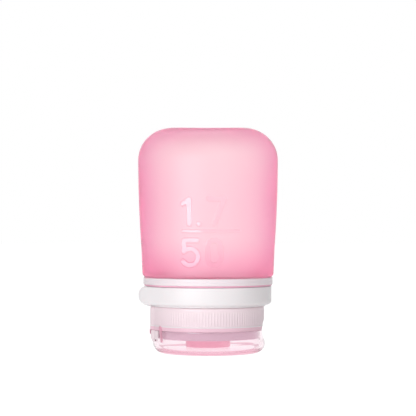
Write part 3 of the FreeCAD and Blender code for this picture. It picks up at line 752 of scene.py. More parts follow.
FINISH_MAKERS = {maker.__name__: maker for maker in (
    body_silicone, clamped_silicone, valve_silicone, satin_white, rosy_white,
    thin_hinge, milky_cap, clear_lid, rosy_pad, seal_rubber,
)}


def finish_named(name):
    """The named material, made on its first use."""
    known = bpy.data.materials.get(name)
    return known or FINISH_MAKERS[name](settings().finish)


def dress_node(node, finish):
    """Gives a node of the frame its material in place of the plain one."""
    mesh = frame["nodes"][node].data
    mesh.materials.clear()
    mesh.materials.append(finish_named(finish))


# Soft body

BOW_STEPS = 24
FINE = 0.22 * MM
COARSE = 1.1 * MM
FRONT_SPAN = math.radians(32)
FRONT_COLUMNS = 120
REST_COLUMNS = 96


def bow(across, up, half_wide, half_tall, start, end):
    """Points of an arc of an ellipse in the numeral's cell, angles in degrees."""
    turn = np.radians(np.linspace(start, end, BOW_STEPS))
    return np.stack([across + half_wide * np.cos(turn), up + half_tall * np.sin(turn)], axis=-1)


def line(*points):
    """Points of a stroke with straight sides."""
    return np.array(points, float)


def numeral_strokes():
    """Each numeral as strokes in a cell one wide and one tall."""
    return {
        "one": [line((0.02, 0.80), (0.41, 0.97), (0.41, 0.0))],
        "seven": [line((0.0, 1.0), (1.0, 1.0), (0.38, 0.0))],
        "five": [line((0.92, 1.0), (0.1, 1.0), (0.06, 0.56)), bow(0.46, 0.33, 0.52, 0.33, 138, -148)],
        "nought": [bow(0.5, 0.72, 0.42, 0.28, 0, 180), line((0.08, 0.72), (0.08, 0.28)),
                   bow(0.5, 0.28, 0.42, 0.28, 180, 360), line((0.92, 0.28), (0.92, 0.72))],
    }


def stroke_distance(across, up, stroke):
    """Least distance to a stroke's sides.

    From p to the side a to b it is the length of p - a - t (b - a).
    There t = (p - a).(b - a) / |b - a|^2, held between 0 and 1.
    """
    least = np.full(across.shape, np.inf)
    for (ax, az), (bx, bz) in zip(stroke[:-1], stroke[1:]):
        run = np.array([bx - ax, bz - az])
        part = np.clip(((across - ax) * run[0] + (up - az) * run[1]) / (run @ run), 0, 1)
        least = np.minimum(least, np.hypot(across - ax - part * run[0], up - az - part * run[1]))
    return least


def numeral_relief(across, up, sizes):
    """How far each place belongs to a raised stroke, 0 to 1: a smooth step across the stroke's edge."""
    cell = np.array([sizes.wide, sizes.tall])
    layout = [("one", sizes.left, sizes.upper_foot), ("seven", sizes.second, sizes.upper_foot),
              ("five", sizes.left, sizes.lower_foot), ("nought", sizes.lower_second, sizes.lower_foot)]
    strokes = numeral_strokes()
    placed = [(stroke * cell + (left, foot), sizes.stroke)
              for name, left, foot in layout for stroke in strokes[name]]
    # The decimal point is a very short stroke.
    dot = line((sizes.point, sizes.upper_foot), (sizes.point + sizes.slope / 10, sizes.upper_foot))
    bar = line((sizes.left, sizes.bar_height), (sizes.bar_right, sizes.bar_height))
    placed += [(dot, sizes.stroke), (bar, sizes.bar_stroke)]
    raised = np.zeros(across.shape)
    for stroke, width in placed:
        inside = width / 2 - stroke_distance(across, up, stroke)
        raised = np.maximum(raised, smooth_step(inside / sizes.slope + 0.5))
    return raised


def body_outline(sizes):
    """The soft bottle's section from the middle of its base, down outside, round the flange and up inside."""
    base = BODY_HIGH.z
    shoulder = CLAMP_HIGH.z
    inner_base = base - sizes.base
    inner_shoulder = shoulder + sizes.shoulder_wall
    flange_out = COLLAR_HIGH.y + sizes.flange_reach
    neck_in = sizes.neck_outside - sizes.neck_wall
    flange_foot = BODY_LOW.z
    flange_top = flange_foot + sizes.flange
    return outline([
        (0, base, 0),
        (sizes.base_radius, base, sizes.corner),
        (sizes.shoulder_radius, shoulder, sizes.shoulder_round),
        (sizes.neck_outside, shoulder, sizes.edge),
        (sizes.neck_outside, flange_top, sizes.edge),
        (flange_out, flange_top, sizes.edge),
        (flange_out, flange_foot, sizes.edge),
        (neck_in, flange_foot, sizes.edge),
        (neck_in, inner_shoulder, sizes.edge / 2),
        (sizes.shoulder_radius - sizes.wall, inner_shoulder, sizes.inner_round),
        (sizes.base_radius - sizes.wall, inner_base, sizes.corner - sizes.wall),
        (0, inner_base, 0),
    ], closed=False, steps=20)


def body_angles():
    """Angles round the axis, close together over the numerals and wider elsewhere."""
    front = np.linspace(FRONT - FRONT_SPAN, FRONT + FRONT_SPAN, FRONT_COLUMNS, endpoint=False)
    rest = np.linspace(FRONT + FRONT_SPAN, FRONT - FRONT_SPAN + FULL_TURN, REST_COLUMNS, endpoint=False)
    return np.concatenate([front, rest])


def on_wall(radius, sizes):
    """Whether a radius lies on the body's outer wall."""
    return radius > sizes.shoulder_radius - sizes.wall / 2


def front_relief(places, sizes, numerals):
    """The numerals' relief on the front of the wall, 0 to 1."""
    wall = on_wall(np.hypot(places[..., 0], places[..., 1]), sizes)
    front = wall & (places[..., 1] < 0)
    return np.where(front, numeral_relief(places[..., 0], places[..., 2], numerals), 0)


def stand_out(outside, sizes, numerals):
    """Moves the wall out by the numerals' relief and by bulge * sin(pi t).

    There t goes from 0 at the bulge's foot to 1 at the base's round.
    """
    radius = np.hypot(outside[..., 0], outside[..., 1])
    part = (outside[..., 2] - sizes.bulge_foot) / (BODY_HIGH.z - sizes.corner - sizes.bulge_foot)
    raised = numerals.relief * front_relief(outside, sizes, numerals)
    raised += np.where(on_wall(radius, sizes), sizes.bulge * np.sin(math.pi * np.clip(part, 0, 1)), 0)
    outside[..., :2] *= 1 + (raised / np.maximum(radius, MM))[..., None]


def hollow_base(outside, sizes):
    """Sinks the base under a trough along Y: z is at most base - trough + x^2 / 2R, softly blended."""
    half = sizes.base_radius - sizes.corner
    hollow = (half ** 2 + sizes.trough ** 2) / (2 * sizes.trough)
    floor = BODY_HIGH.z - sizes.trough + outside[..., 0] ** 2 / (2 * hollow)
    height = outside[..., 2]
    near_base = height > BODY_HIGH.z - sizes.corner / 2
    outside[..., 2] = np.where(near_base, soft_least(height, floor, sizes.trough_blend), height)


class BOTTLE_OT_body(bpy.types.Operator):
    """Soft bottle with its troughed base, clamped flange and raised numerals"""
    bl_idname = "bottle.body"
    bl_label = "Soft Body"

    def execute(self, context):
        sizes = settings().body
        numerals = settings().numerals
        low = numerals.lower_foot - numerals.stroke
        high = numerals.upper_foot + numerals.tall + numerals.stroke

        def spacing(middle):
            return FINE if on_wall(middle[0], sizes) and low < middle[1] < high else COARSE

        points = filled(body_outline(sizes), spacing, closed=False)
        grid = turned(points, body_angles())
        # The lowest row, at the flange's foot, parts the outside from the inside.
        outside = grid[:int(np.argmin(points[:, 1])) + 1]
        stand_out(outside, sizes, numerals)
        hollow_base(outside, sizes)
        piece = new_piece("silicone_body", [shell(grid)], finish_named("body_silicone"), "bottle",
                          ["bottle_body"])
        add_layer(piece, NUMERAL_LAYER, front_relief(points_of(piece.data), sizes, numerals))
        paint_faces(piece, finish_named("clamped_silicone"),
                    lambda centres: centres[:, 2] < CLAMP_HIGH.z + sizes.edge / 5)
        return {"FINISHED"}


# Rings and strap

ROUND_COLUMNS = 192
LEG_ROWS = 9
TAB_ROWS = 40
BAND_ROWS = 140
END_ROWS = 28
ROOT_ROWS = 13
POST_COLUMNS = 32


def all_round(count):
    """Angles once round the axis."""
    return np.linspace(0, FULL_TURN, count, endpoint=False)


def radial_frames(angles):
    """Outward directions at these angles round the axis, and the upward one for each."""
    outward = np.stack([np.cos(angles), np.sin(angles), 0 * angles], axis=-1)
    upward = np.broadcast_to([0.0, 0.0, 1.0], outward.shape)
    return outward, upward


def arc_solid(profile, start, end, count):
    """A closed profile (r, z) swept round the axis from one angle to another, with flat ends."""
    angles = np.linspace(start, end, count)
    outward, upward = radial_frames(angles)
    return shell(carried(profile, np.zeros((count, 3)), outward, upward), capped=True)


class BOTTLE_OT_clamp_ring(bpy.types.Operator):
    """White ring under the shoulder, with its moulded line and barbed legs"""
    bl_idname = "bottle.clamp_ring"
    bl_label = "Clamp Ring"

    def execute(self, context):
        sizes = settings().ring
        top = CLAMP_HIGH.z
        foot = top - sizes.thickness
        outside = CLAMP_HIGH.x
        middle = (top + foot) / 2
        half = sizes.groove_width / 2
        section = outline([
            (sizes.bore, foot, 0),
            (outside, foot, sizes.edge),
            (outside, middle - half, sizes.groove / 2),
            (outside - sizes.groove, middle, sizes.groove / 2),
            (outside, middle + half, sizes.groove / 2),
            (outside, top, sizes.edge),
            (sizes.bore, top, 0),
        ], closed=True)
        leg_out = sizes.bore + sizes.leg
        leg_foot = CLAMP_LOW.z
        barb_top = leg_foot + sizes.barb_height
        leg = np.array([
            (sizes.bore, leg_foot),
            (leg_out, leg_foot),
            (leg_out + sizes.barb, barb_top),
            (leg_out, barb_top),
            (leg_out, foot),
            (sizes.bore, foot),
        ])
        half_leg = sizes.leg_angle / 2
        legs = [arc_solid(leg, at - half_leg, at + half_leg, LEG_ROWS) for at in all_round(sizes.leg_count)]
        new_piece("clamp_band", [shell(turned(section, all_round(ROUND_COLUMNS)), wrap_rows=True), *legs],
                  finish_named("rosy_white"), "bottle", ["clamp_ring"])
        return {"FINISHED"}


class BOTTLE_OT_collar(bpy.types.Operator):
    """White plastic on the rigid neck and collar"""
    bl_idname = "bottle.collar"
    bl_label = "Collar"

    def execute(self, context):
        dress_node("collar", "satin_white")
        return {"FINISHED"}


class BOTTLE_OT_strap(bpy.types.Operator):
    """Band round the front of the collar, with its pull tab, root, barrel and pins"""
    bl_idname = "bottle.strap"
    bl_label = "Loop Strap"

    def execute(self, context):
        sizes = settings().strap
        outside = STRAP_HIGH.x
        inside = outside - sizes.thickness
        low = STRAP_LOW.z + sizes.foot_lift
        middle = (low + STRAP_HIGH.z) / 2
        half = (STRAP_HIGH.z - low) / 2
        reach = half - sizes.root_inset
        pivot = Vector(JOINTS["strap_swing"]["pos_m"])
        pivot_angle = math.atan2(pivot.y, pivot.x) + FULL_TURN
        start = pivot_angle - sizes.root_angle
        section = outline([
            (inside, -half, sizes.edge),
            (outside, -half, sizes.lower_edge),
            (outside, half, sizes.edge),
            (inside, half, sizes.edge),
        ], closed=True)
        band = self.band(sizes, section, start, half, middle)
        root = arc_solid(section * (1, reach / half) + (0, middle), start, pivot_angle, ROOT_ROWS)
        post = self.post(sizes, half, reach) + np.array([pivot.x, pivot.y, middle])
        new_piece("pull_strap", [band, root, shell(post)], finish_named("satin_white"), "strap",
                  ["loop_strap"])
        return {"FINISHED"}

    def band(self, sizes, section, start, half, middle):
        """The section carried round the collar and straight on; its end narrows as a half circle does."""
        bend = np.linspace(start, sizes.tab_angle, BAND_ROWS)
        straight = np.linspace(0, sizes.tab - half, TAB_ROWS)[1:]
        turn = np.linspace(0, math.pi / 2, END_ROWS)[1:]
        ending = sizes.tab - half + half * np.sin(turn)
        run = np.concatenate([0 * bend, straight, ending])
        narrow = np.concatenate([np.ones(len(bend) + len(straight)), np.cos(turn)])[:, None]
        thin = sizes.tab_tip + (1 - sizes.tab_tip) * np.sqrt(narrow)
        angles = np.concatenate([bend, np.full(len(straight) + len(ending), sizes.tab_angle)])
        outward, upward = radial_frames(angles)
        along = np.stack([outward[:, 1], -outward[:, 0], 0 * run], axis=-1)
        origins = along * run[:, None] + np.array([0, 0, middle])
        centre = STRAP_HIGH.x - sizes.thickness / 2
        profiles = np.stack([centre + (section[:, 0] - centre) * thin, section[:, 1] * narrow], axis=-1)
        return shell(carried(profiles, origins, outward, upward), capped=True)

    def post(self, sizes, half, reach):
        """Barrel with a pin at each end, turned about its own axis."""
        section = outline([
            (0, -half, 0),
            (sizes.pin, -half, sizes.edge / 2),
            (sizes.pin, -reach, 0),
            (sizes.barrel, -reach, sizes.edge / 2),
            (sizes.barrel, reach, sizes.edge / 2),
            (sizes.pin, reach, 0),
            (sizes.pin, half, sizes.edge / 2),
            (0, half, 0),
        ], closed=False)
        return turned(section, all_round(POST_COLUMNS))


# Cap, valve and lid

RIB_COLUMNS = 8
THREAD_ROWS = 120
VALVE_COLUMNS = 160
LID_COLUMNS = 480
PAD_ROWS = 81
CAP_FINE = 0.25 * MM
CAP_COARSE = 3 * MM
LID_FINE = 0.5 * MM
LID_COARSE = 1.5 * MM
SLIT_FINE = 0.12 * MM
VALVE_COARSE = 0.8 * MM
SLIT_MARGIN = 1.2
LEAST_COSINE = 1e-3
LEAST_RADIUS = 0.01 * MM


def wall_reach(angles, height, radius, pad_reach, sizes):
    """Radius of the cap's and the lid's outside at an angle and a height, and how far that lies on the pad.

    A round wall, with a flat pad at the hinge (x = -pad_reach) and a thumb notch whose bottom is
    x = radius - depth + R - sqrt(R^2 - (z - parting)^2), where R is the notch's own radius.
    """
    cosine = np.cos(angles)
    wall = np.full(np.broadcast(angles, height).shape, radius)
    half = sizes.hinge_width / 2
    flat = pad_reach / np.maximum(-cosine, LEAST_COSINE)
    beside = np.abs(np.sin(angles)) * flat
    on_pad = smooth_step((half - beside) / sizes.hinge_blend + 0.5) * (cosine < 0)
    wall = wall + on_pad * np.maximum(flat - radius, 0)
    depth = sizes.notch_depth
    round_radius = (sizes.notch_half ** 2 + depth ** 2) / (2 * depth)
    level = np.clip(np.abs(height - PARTING), 0, sizes.notch_half)
    limit = radius - depth + round_radius - np.sqrt(round_radius ** 2 - level ** 2)
    limit = limit / np.maximum(cosine, LEAST_COSINE)
    cut = np.where((cosine > 0) & (np.abs(height - PARTING) < sizes.notch_half), limit, np.inf)
    return np.minimum(wall, cut), on_pad


def stretch_outside(grid, inner, radius, reach):
    """Stretches what lies beyond the inner radius so that the wall's outside follows reach."""
    here = np.hypot(grid[..., 0], grid[..., 1])
    part = np.clip((here - inner) / (radius - inner), 0, 1)
    wanted = here + part * (reach - radius)
    grid[..., :2] *= (wanted / np.maximum(here, LEAST_RADIUS))[..., None]


class BOTTLE_OT_cap(bpy.types.Operator):
    """Milky screw cap with fine grip ribs, a hinge pad, a thumb notch and its inner thread"""
    bl_idname = "bottle.cap"
    bl_label = "Screw Cap"

    def execute(self, context):
        sizes = settings().cap
        radius = CAP_HIGH.y
        foot = CAP_LOW.z
        top = CAP_HIGH.z + sizes.top_lift
        deck_foot = foot + sizes.pad_seat
        deck_top = deck_foot + sizes.deck
        plug_top = deck_top + sizes.plug_height
        plug_in = sizes.plug_outside - sizes.plug_wall
        skirt_in = radius - sizes.skirt
        rim_in = radius - sizes.rim
        section = outline([
            (sizes.deck_hole, deck_foot, sizes.edge),
            (rim_in, deck_foot, sizes.edge),
            (rim_in, foot, sizes.edge / 2),
            (radius, foot, sizes.edge / 2),
            (radius, top, sizes.edge * 2),
            (skirt_in, top, sizes.edge),
            (skirt_in, deck_top, sizes.edge),
            (sizes.plug_outside, deck_top, sizes.edge),
            (sizes.plug_outside, plug_top, sizes.edge),
            (plug_in, plug_top, sizes.edge),
            (plug_in, deck_top, sizes.edge),
            (sizes.deck_hole, deck_top, sizes.edge),
        ], closed=True, steps=4)
        section = filled(section, by_radius(rim_in, CAP_FINE, CAP_COARSE), closed=True)
        angles = all_round(sizes.ribs * RIB_COLUMNS)
        grid = turned(section, angles)
        height = grid[..., 2]
        reach, on_pad = wall_reach(angles, height, radius, sizes.pad_reach, sizes)
        # The grooves between n ribs are depth * (1/2 - 1/2 cos(n a))^2, and the bead is a bell curve.
        groove = (0.5 - 0.5 * np.cos(angles * sizes.ribs)) ** 2
        band = smooth_step((height - sizes.rib_foot) / sizes.rib_fade)
        band = band * smooth_step((sizes.rib_top - height) / sizes.rib_fade)
        reach = reach - sizes.rib_depth * groove * band * (1 - on_pad)
        beside = (height - deck_foot - sizes.bead_width) / sizes.bead_width
        reach = reach + sizes.bead * np.exp(-beside ** 2)
        stretch_outside(grid, skirt_in, radius, reach)
        thread = self.thread(sizes, skirt_in, deck_top, top)
        new_piece("screw_cap", [shell(grid, wrap_rows=True), thread], finish_named("milky_cap"), "cap",
                  ["cap"])
        return {"FINISHED"}

    def thread(self, sizes, skirt_in, deck_top, top):
        """A ridge carried along a helix inside the skirt: z rises by the pitch in a turn."""
        turns = np.linspace(0, sizes.thread_turns * FULL_TURN, THREAD_ROWS)
        lead = (top - deck_top - sizes.thread_turns * sizes.pitch) / 2
        rise = deck_top + lead + turns / FULL_TURN * sizes.pitch
        outward, upward = radial_frames(turns + math.pi)
        ridge = np.array([
            (skirt_in + sizes.edge / 2, -sizes.thread_root / 2),
            (skirt_in - sizes.thread_depth, -sizes.thread_crest / 2),
            (skirt_in - sizes.thread_depth, sizes.thread_crest / 2),
            (skirt_in + sizes.edge / 2, sizes.thread_root / 2),
        ])
        origins = np.stack([0 * rise, 0 * rise, rise], axis=-1)
        return shell(carried(ridge, origins, outward, upward), capped=True)


class BOTTLE_OT_valve(bpy.types.Operator):
    """Pink silicone pad and nozzle with a cross-slit membrane"""
    bl_idname = "bottle.valve"
    bl_label = "Slit Valve"

    def execute(self, context):
        sizes = settings().valve
        deck_foot = settings().cap.pad_seat + CAP_LOW.z
        deck_top = VALVE_HIGH.z - sizes.flange
        tip = VALVE_LOW.z - sizes.tip_drop
        pad_foot = deck_foot - sizes.pad
        lower = tip + sizes.inset
        upper = lower + sizes.membrane
        small = sizes.edge / 3
        section = outline([
            (0, lower, 0),
            (sizes.bore, lower, small),
            (sizes.bore, tip, small),
            (sizes.nozzle, tip, sizes.edge),
            (sizes.nozzle, pad_foot, sizes.edge),
            (VALVE_HIGH.x, pad_foot, sizes.edge),
            (VALVE_HIGH.x, deck_foot, small),
            (sizes.neck, deck_foot, 0),
            (sizes.neck, deck_top, 0),
            (sizes.inner_flange, deck_top, small),
            (sizes.inner_flange, VALVE_HIGH.z, small),
            (sizes.bore, VALVE_HIGH.z, small),
            (sizes.bore, upper, small),
            (0, upper, 0),
        ], closed=False)
        section = filled(section, by_radius(sizes.slit * SLIT_MARGIN, VALVE_COARSE, SLIT_FINE), closed=False)
        grid = turned(section, all_round(VALVE_COLUMNS))
        # Each slit is a crease: the membrane's faces sink towards its middle along the two lines.
        across = np.abs(grid[..., 0])
        beside = np.abs(grid[..., 1])
        reach = np.hypot(across, beside)
        near = np.exp(-(np.minimum(across, beside) / sizes.slit_width) ** 2)
        near = near * smooth_step((sizes.slit - reach) / sizes.slit_width)
        middle = (lower + upper) / 2
        grid[..., 2] += near * (middle - grid[..., 2]) * sizes.slit_depth
        new_piece("nozzle_valve", [shell(grid)], finish_named("valve_silicone"), "cap",
                  ["slit_valve"])
        return {"FINISHED"}


class BOTTLE_OT_lid(bpy.types.Operator):
    """Clear flip lid with a rounded foot, a plug ring, a hinge pad and a thumb notch"""
    bl_idname = "bottle.lid"
    bl_label = "Flip Lid"

    def execute(self, context):
        sizes = settings().lid
        radius = LID_HIGH.y
        inner = radius - sizes.wall
        rim = LID_HIGH.z
        plug_in = sizes.plug - sizes.plug_wall
        section = outline([
            (0, LID_LOW.z, 0),
            (radius, LID_LOW.z, sizes.round),
            (radius, rim, sizes.edge),
            (inner, rim, sizes.edge),
            (inner, sizes.floor, sizes.round - sizes.floor),
            (sizes.plug, sizes.floor, sizes.edge),
            (sizes.plug, sizes.plug_top, sizes.edge),
            (plug_in, sizes.plug_top, sizes.edge),
            (plug_in, sizes.floor, sizes.edge),
            (0, sizes.floor, 0),
        ], closed=False, steps=12)
        section = filled(section, by_radius(inner, LID_FINE, LID_COARSE), closed=False)
        angles = all_round(LID_COLUMNS)
        grid = turned(section, angles)
        height = grid[..., 2]
        reach, _ = wall_reach(angles, height, radius, 0, settings().cap)
        stretch_outside(grid, inner, radius, reach)
        grid[..., 0] += sizes.lip * smooth_step((sizes.lip_height - height) / sizes.lip_height * 2)
        piece = new_piece("flip_lid", [shell(grid), self.pad(sizes)], finish_named("clear_lid"), "lid",
                          ["lid"])
        # The foot layer marks the duller edge that carries the painted reflection of the valve.
        add_layer(piece, DULL_AND_REFLECTION_LAYER, self.foot(points_of(piece.data), inner, sizes))
        skin = radius - sizes.pad_gap
        pad_foot = rim - sizes.pad_height - sizes.pad_run

        def dull(centres):
            outside = np.hypot(centres[:, 0], centres[:, 1]) > skin
            beside = (centres[:, 0] < 0) & (np.abs(centres[:, 1]) < sizes.pad_half)
            return outside & beside & (centres[:, 2] > pad_foot)

        paint_faces(piece, finish_named("rosy_pad"), dull)
        return {"FINISHED"}

    def foot(self, places, inner, sizes):
        """1 on the lower edge, just above the resting face, and 0 elsewhere."""
        across, beside, up = places.T
        outer = np.hypot(across, beside) > inner + sizes.wall / 10
        above = up > LID_LOW.z + sizes.edge / 10
        below_floor = up < sizes.floor - sizes.edge / 10
        return 1.0 * (above & (up < sizes.foot) & (outer | below_floor))

    def pad(self, sizes):
        """Hinge pad on the round wall: at each angle a section from the wall out to the flat x = -reach."""
        radius = LID_HIGH.y
        rim = LID_HIGH.z
        foot = rim - sizes.pad_height
        back = radius + sizes.pad_gap
        cap = settings().cap
        half = math.asin((cap.hinge_width + cap.hinge_blend) / 2 / radius)
        angles = np.linspace(math.pi - half, math.pi + half, PAD_ROWS)
        reach, _ = wall_reach(angles, np.full(len(angles), foot), radius, -LID_LOW.x, cap)
        reach = np.maximum(reach, back + sizes.pad_gap)
        # The section is drawn a millimetre deep and then stretched to the pad's depth at each angle.
        section = outline([
            (0, foot, 0),
            (MM, foot + sizes.pad_slope, sizes.edge * 3),
            (MM, rim, sizes.edge),
            (0, rim, 0),
        ], closed=True)
        profiles = np.repeat(section[None], len(angles), axis=0)
        profiles[..., 0] = back + profiles[..., 0] / MM * (reach - back)[:, None]
        outward, upward = radial_frames(angles)
        return shell(carried(profiles, np.zeros((len(angles), 3)), outward, upward), capped=True)


# Hinge and seals

WEB_ROWS = 24
WEB_SPACING = 0.12 * MM
SPRING_ROWS = 25
SPRING_COLUMNS = 9

# The web's thickness and the round inside its bend, as shares of the straps' thickness.
WEB_SHARE = 0.6
BEND_SHARE = 0.3


class BOTTLE_OT_hinge(bpy.types.Operator):
    """Living hinge: a thin web and two curved spring straps between cap and lid"""
    bl_idname = "bottle.hinge"
    bl_label = "Living Hinge"

    def execute(self, context):
        sizes = settings().hinge
        web = sizes.thickness * WEB_SHARE
        out = FILM_HIGH.x - sizes.thickness
        into = FILM_HIGH.x
        foot = FILM_LOW.z
        top = FILM_HIGH.z
        section = outline([
            (out, top, 0),
            (out, foot, web),
            (into, foot, 0),
            (into, foot + web, 0),
            (out + web, foot + web, sizes.thickness * BEND_SHARE),
            (out + web, top, 0),
        ], closed=True)
        section = filled(section, lambda middle: WEB_SPACING, closed=True)
        across = np.linspace(FILM_LOW.y, FILM_HIGH.y, WEB_ROWS)
        origins = np.stack([0 * across, across, 0 * across], axis=-1)
        sideways = np.broadcast_to([1.0, 0.0, 0.0], origins.shape)
        upward = np.broadcast_to([0.0, 0.0, 1.0], origins.shape)
        film = new_piece("hinge_web", [shell(carried(section, origins, sideways, upward), capped=True)],
                         finish_named("thin_hinge"), None, ["hinge_film"])
        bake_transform(film)
        self.springs(sizes)
        return {"FINISHED"}

    def springs(self, sizes):
        """Each strap stands on the wall, slants round it and narrows downwards.

        Its level section at height z is an arc from a(z) to a(z) + w(z).
        As z falls, a rises and w shrinks evenly.
        """
        inner = LID_HIGH.y + sizes.gap
        outer = inner + sizes.thickness
        far = math.asin(SPRING_HIGH.y / outer)
        near = math.acos(-SPRING_LOW.x / outer)
        fall = np.linspace(0, 1, SPRING_ROWS)[:, None]
        first = near + (far - near) * sizes.slant * fall
        width = (far - near) * (sizes.width + (sizes.foot_width - sizes.width) * fall)
        across = np.linspace(0, 1, SPRING_COLUMNS)
        around = np.concatenate([across, across[::-1]])
        radius = np.repeat([inner, outer], SPRING_COLUMNS)
        turn = first + width * around
        heights = np.linspace(SPRING_HIGH.z, SPRING_LOW.z, SPRING_ROWS)[:, None] + 0 * turn
        for side, name in ((1, "front"), (-1, "rear")):
            angles = math.pi + side * turn
            grid = np.stack([radius * np.cos(angles), radius * np.sin(angles), heights], axis=-1)
            strap = new_piece(f"hinge_spring_{name}", [shell(grid, capped=True)],
                              finish_named("thin_hinge"), None, ["hinge_springs"])
            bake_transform(strap)


class BOTTLE_OT_seals(bpy.types.Operator):
    """Materials of the gasket and of the ring that holds the valve"""
    bl_idname = "bottle.seals"
    bl_label = "Seals"

    def execute(self, context):
        dress_node("cap_gasket", "seal_rubber")
        dress_node("valve_retainer", "milky_cap")
        return {"FINISHED"}


# Stage

CLIP_NEAR = 0.01
CLIP_FAR = 20
FLOOR_ROUGHNESS = 0.9


def white_for_sight(tree, level, white):
    """One level for rays that look straight, mirrored or through glass, and another for the rest."""
    path = tree.nodes.new("ShaderNodeLightPath")
    seen = path.outputs["Is Camera Ray"]
    for name in ("Is Glossy Ray", "Is Transmission Ray"):
        either = tree.nodes.new("ShaderNodeMath")
        either.operation = "MAXIMUM"
        tree.links.new(seen, either.inputs[0])
        tree.links.new(path.outputs[name], either.inputs[1])
        seen = either.outputs["Value"]
    ranged = tree.nodes.new("ShaderNodeMapRange")
    ranged.inputs["To Min"].default_value = level
    ranged.inputs["To Max"].default_value = white
    tree.links.new(seen, ranged.inputs["Value"])
    return ranged.outputs["Result"]


def turn_towards(thing, target):
    """Turns a lamp or a camera to look at a place."""
    aim = Vector(target) - thing.location
    thing.rotation_euler = aim.to_track_quat("-Z", "Y").to_euler()


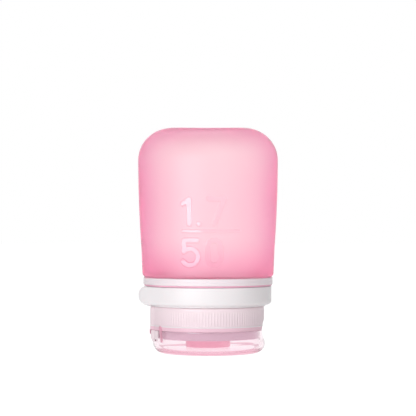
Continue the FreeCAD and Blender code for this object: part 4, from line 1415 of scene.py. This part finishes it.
class BOTTLE_OT_stage(bpy.types.Operator):
    """White floor and surround, a softbox, a panel at the front and one at the back, and the camera"""
    bl_idname = "bottle.stage"
    bl_label = "Stage"

    def execute(self, context):
        scene = context.scene
        sizes = settings().stage
        scene.view_settings.view_transform = "Standard"
        self.surround(scene, sizes)
        self.floor(scene, sizes)
        self.panel(scene, "softbox", sizes.key_angle, sizes.key_distance, sizes.key_height,
                   (sizes.key_width, sizes.key_tall), sizes.key_radiance)
        square = (sizes.fill_width, sizes.fill_width)
        self.panel(scene, "fill", sizes.fill_angle, sizes.fill_distance, sizes.fill_height, square,
                   sizes.fill_radiance)
        self.panel(scene, "back", sizes.back_angle, sizes.fill_distance, sizes.fill_height, square,
                   sizes.back_radiance, mirrored=False)
        self.camera(scene, sizes)
        return {"FINISHED"}

    def surround(self, scene, sizes):
        """White all round to the eye, with a little even light on dull surfaces."""
        world = bpy.data.worlds.new("studio")
        world.use_nodes = True
        tree = world.node_tree
        white = white_for_sight(tree, sizes.ambient, sizes.surround)
        tree.links.new(white, tree.nodes["Background"].inputs["Strength"])
        tree.nodes["Background"].inputs["Color"].default_value = (1, 1, 1, 1)
        scene.world = world

    def floor(self, scene, sizes):
        """A wide floor that is white to the eye and keeps a share of the object's shadow."""
        half = sizes.floor
        level = sizes.floor_touch
        mesh = bpy.data.meshes.new("floor")
        corners = [(-half, -half, level), (half, -half, level), (half, half, level), (-half, half, level)]
        mesh.from_pydata(corners, [], [(0, 1, 2, 3)])
        material = bpy.data.materials.new("floor_white")
        material.use_nodes = True
        tree = material.node_tree
        dull = tree.nodes["Principled BSDF"]
        dull.inputs["Base Color"].default_value = (*[sizes.floor_white] * 3, 1)
        dull.inputs["Roughness"].default_value = FLOOR_ROUGHNESS
        bright = tree.nodes.new("ShaderNodeEmission")
        white = white_for_sight(tree, sizes.floor_bounce, sizes.floor_level)
        tree.links.new(white, bright.inputs["Strength"])
        mix = tree.nodes.new("ShaderNodeMixShader")
        mix.inputs["Fac"].default_value = sizes.shadow
        tree.links.new(bright.outputs["Emission"], mix.inputs[1])
        tree.links.new(dull.outputs["BSDF"], mix.inputs[2])
        tree.links.new(mix.outputs["Shader"], tree.nodes["Material Output"].inputs["Surface"])
        mesh.materials.append(material)
        plane = bpy.data.objects.new("floor", mesh)
        scene.collection.objects.link(plane)

    def panel(self, scene, name, turn, distance, height, size, radiance, mirrored=True):
        """An even lamp whose power is radiance * pi * area, turned to the bottle."""
        lamp = bpy.data.lights.new(name, "AREA")
        lamp.shape = "RECTANGLE"
        lamp.size, lamp.size_y = size
        lamp.energy = radiance * math.pi * size[0] * size[1]
        box = bpy.data.objects.new(name, lamp)
        box.location = (math.sin(turn) * distance, -math.cos(turn) * distance, height)
        turn_towards(box, (0, 0, BODY_HIGH.z / 2))
        box.visible_transmission = False
        box.visible_glossy = mirrored
        scene.collection.objects.link(box)

    def camera(self, scene, sizes):
        """A camera whose lens shows the view's width at the bottle's axis."""
        lens = bpy.data.cameras.new("camera")
        lens.lens = lens.sensor_width * sizes.distance / sizes.view_width
        lens.clip_start = CLIP_NEAR
        lens.clip_end = CLIP_FAR
        eye = bpy.data.objects.new("camera", lens)
        eye.location = (0, -sizes.distance, sizes.eye)
        turn_towards(eye, (0, 0, sizes.aim))
        scene.collection.objects.link(eye)
        scene.camera = eye


class BOTTLE_PT_pieces(bpy.types.Panel):
    """The bottle's pieces"""
    bl_label = "Travel Bottle"
    bl_idname = "BOTTLE_PT_pieces"
    bl_space_type = "VIEW_3D"
    bl_region_type = "UI"
    bl_category = "Bottle"

    def draw(self, context):
        for operator in OPERATORS:
            self.layout.operator(operator.bl_idname)


OPERATORS = (
    BOTTLE_OT_body,
    BOTTLE_OT_clamp_ring,
    BOTTLE_OT_collar,
    BOTTLE_OT_strap,
    BOTTLE_OT_cap,
    BOTTLE_OT_valve,
    BOTTLE_OT_lid,
    BOTTLE_OT_hinge,
    BOTTLE_OT_seals,
    BOTTLE_OT_stage,
)
GROUPS = (
    BodySizes, NumeralSizes, RingSizes, StrapSizes, CapSizes, LidSizes, HingeSizes, ValveSizes,
    Finishes, StageSizes, BottleSettings,
)


def register():
    for part in (*GROUPS, *OPERATORS, BOTTLE_PT_pieces):
        bpy.utils.register_class(part)
    bpy.types.Scene.travel_bottle = PointerProperty(type=BottleSettings)


def unregister():
    del bpy.types.Scene.travel_bottle
    for part in reversed((*GROUPS, *OPERATORS, BOTTLE_PT_pieces)):
        bpy.utils.unregister_class(part)


def main():
    register()
    bpy.ops.bottle.body()
    bpy.ops.bottle.clamp_ring()
    bpy.ops.bottle.collar()
    bpy.ops.bottle.strap()
    bpy.ops.bottle.cap()
    bpy.ops.bottle.valve()
    bpy.ops.bottle.lid()
    bpy.ops.bottle.hinge()
    bpy.ops.bottle.seals()
    bpy.ops.bottle.stage()


if __name__ == "__main__":
    main()
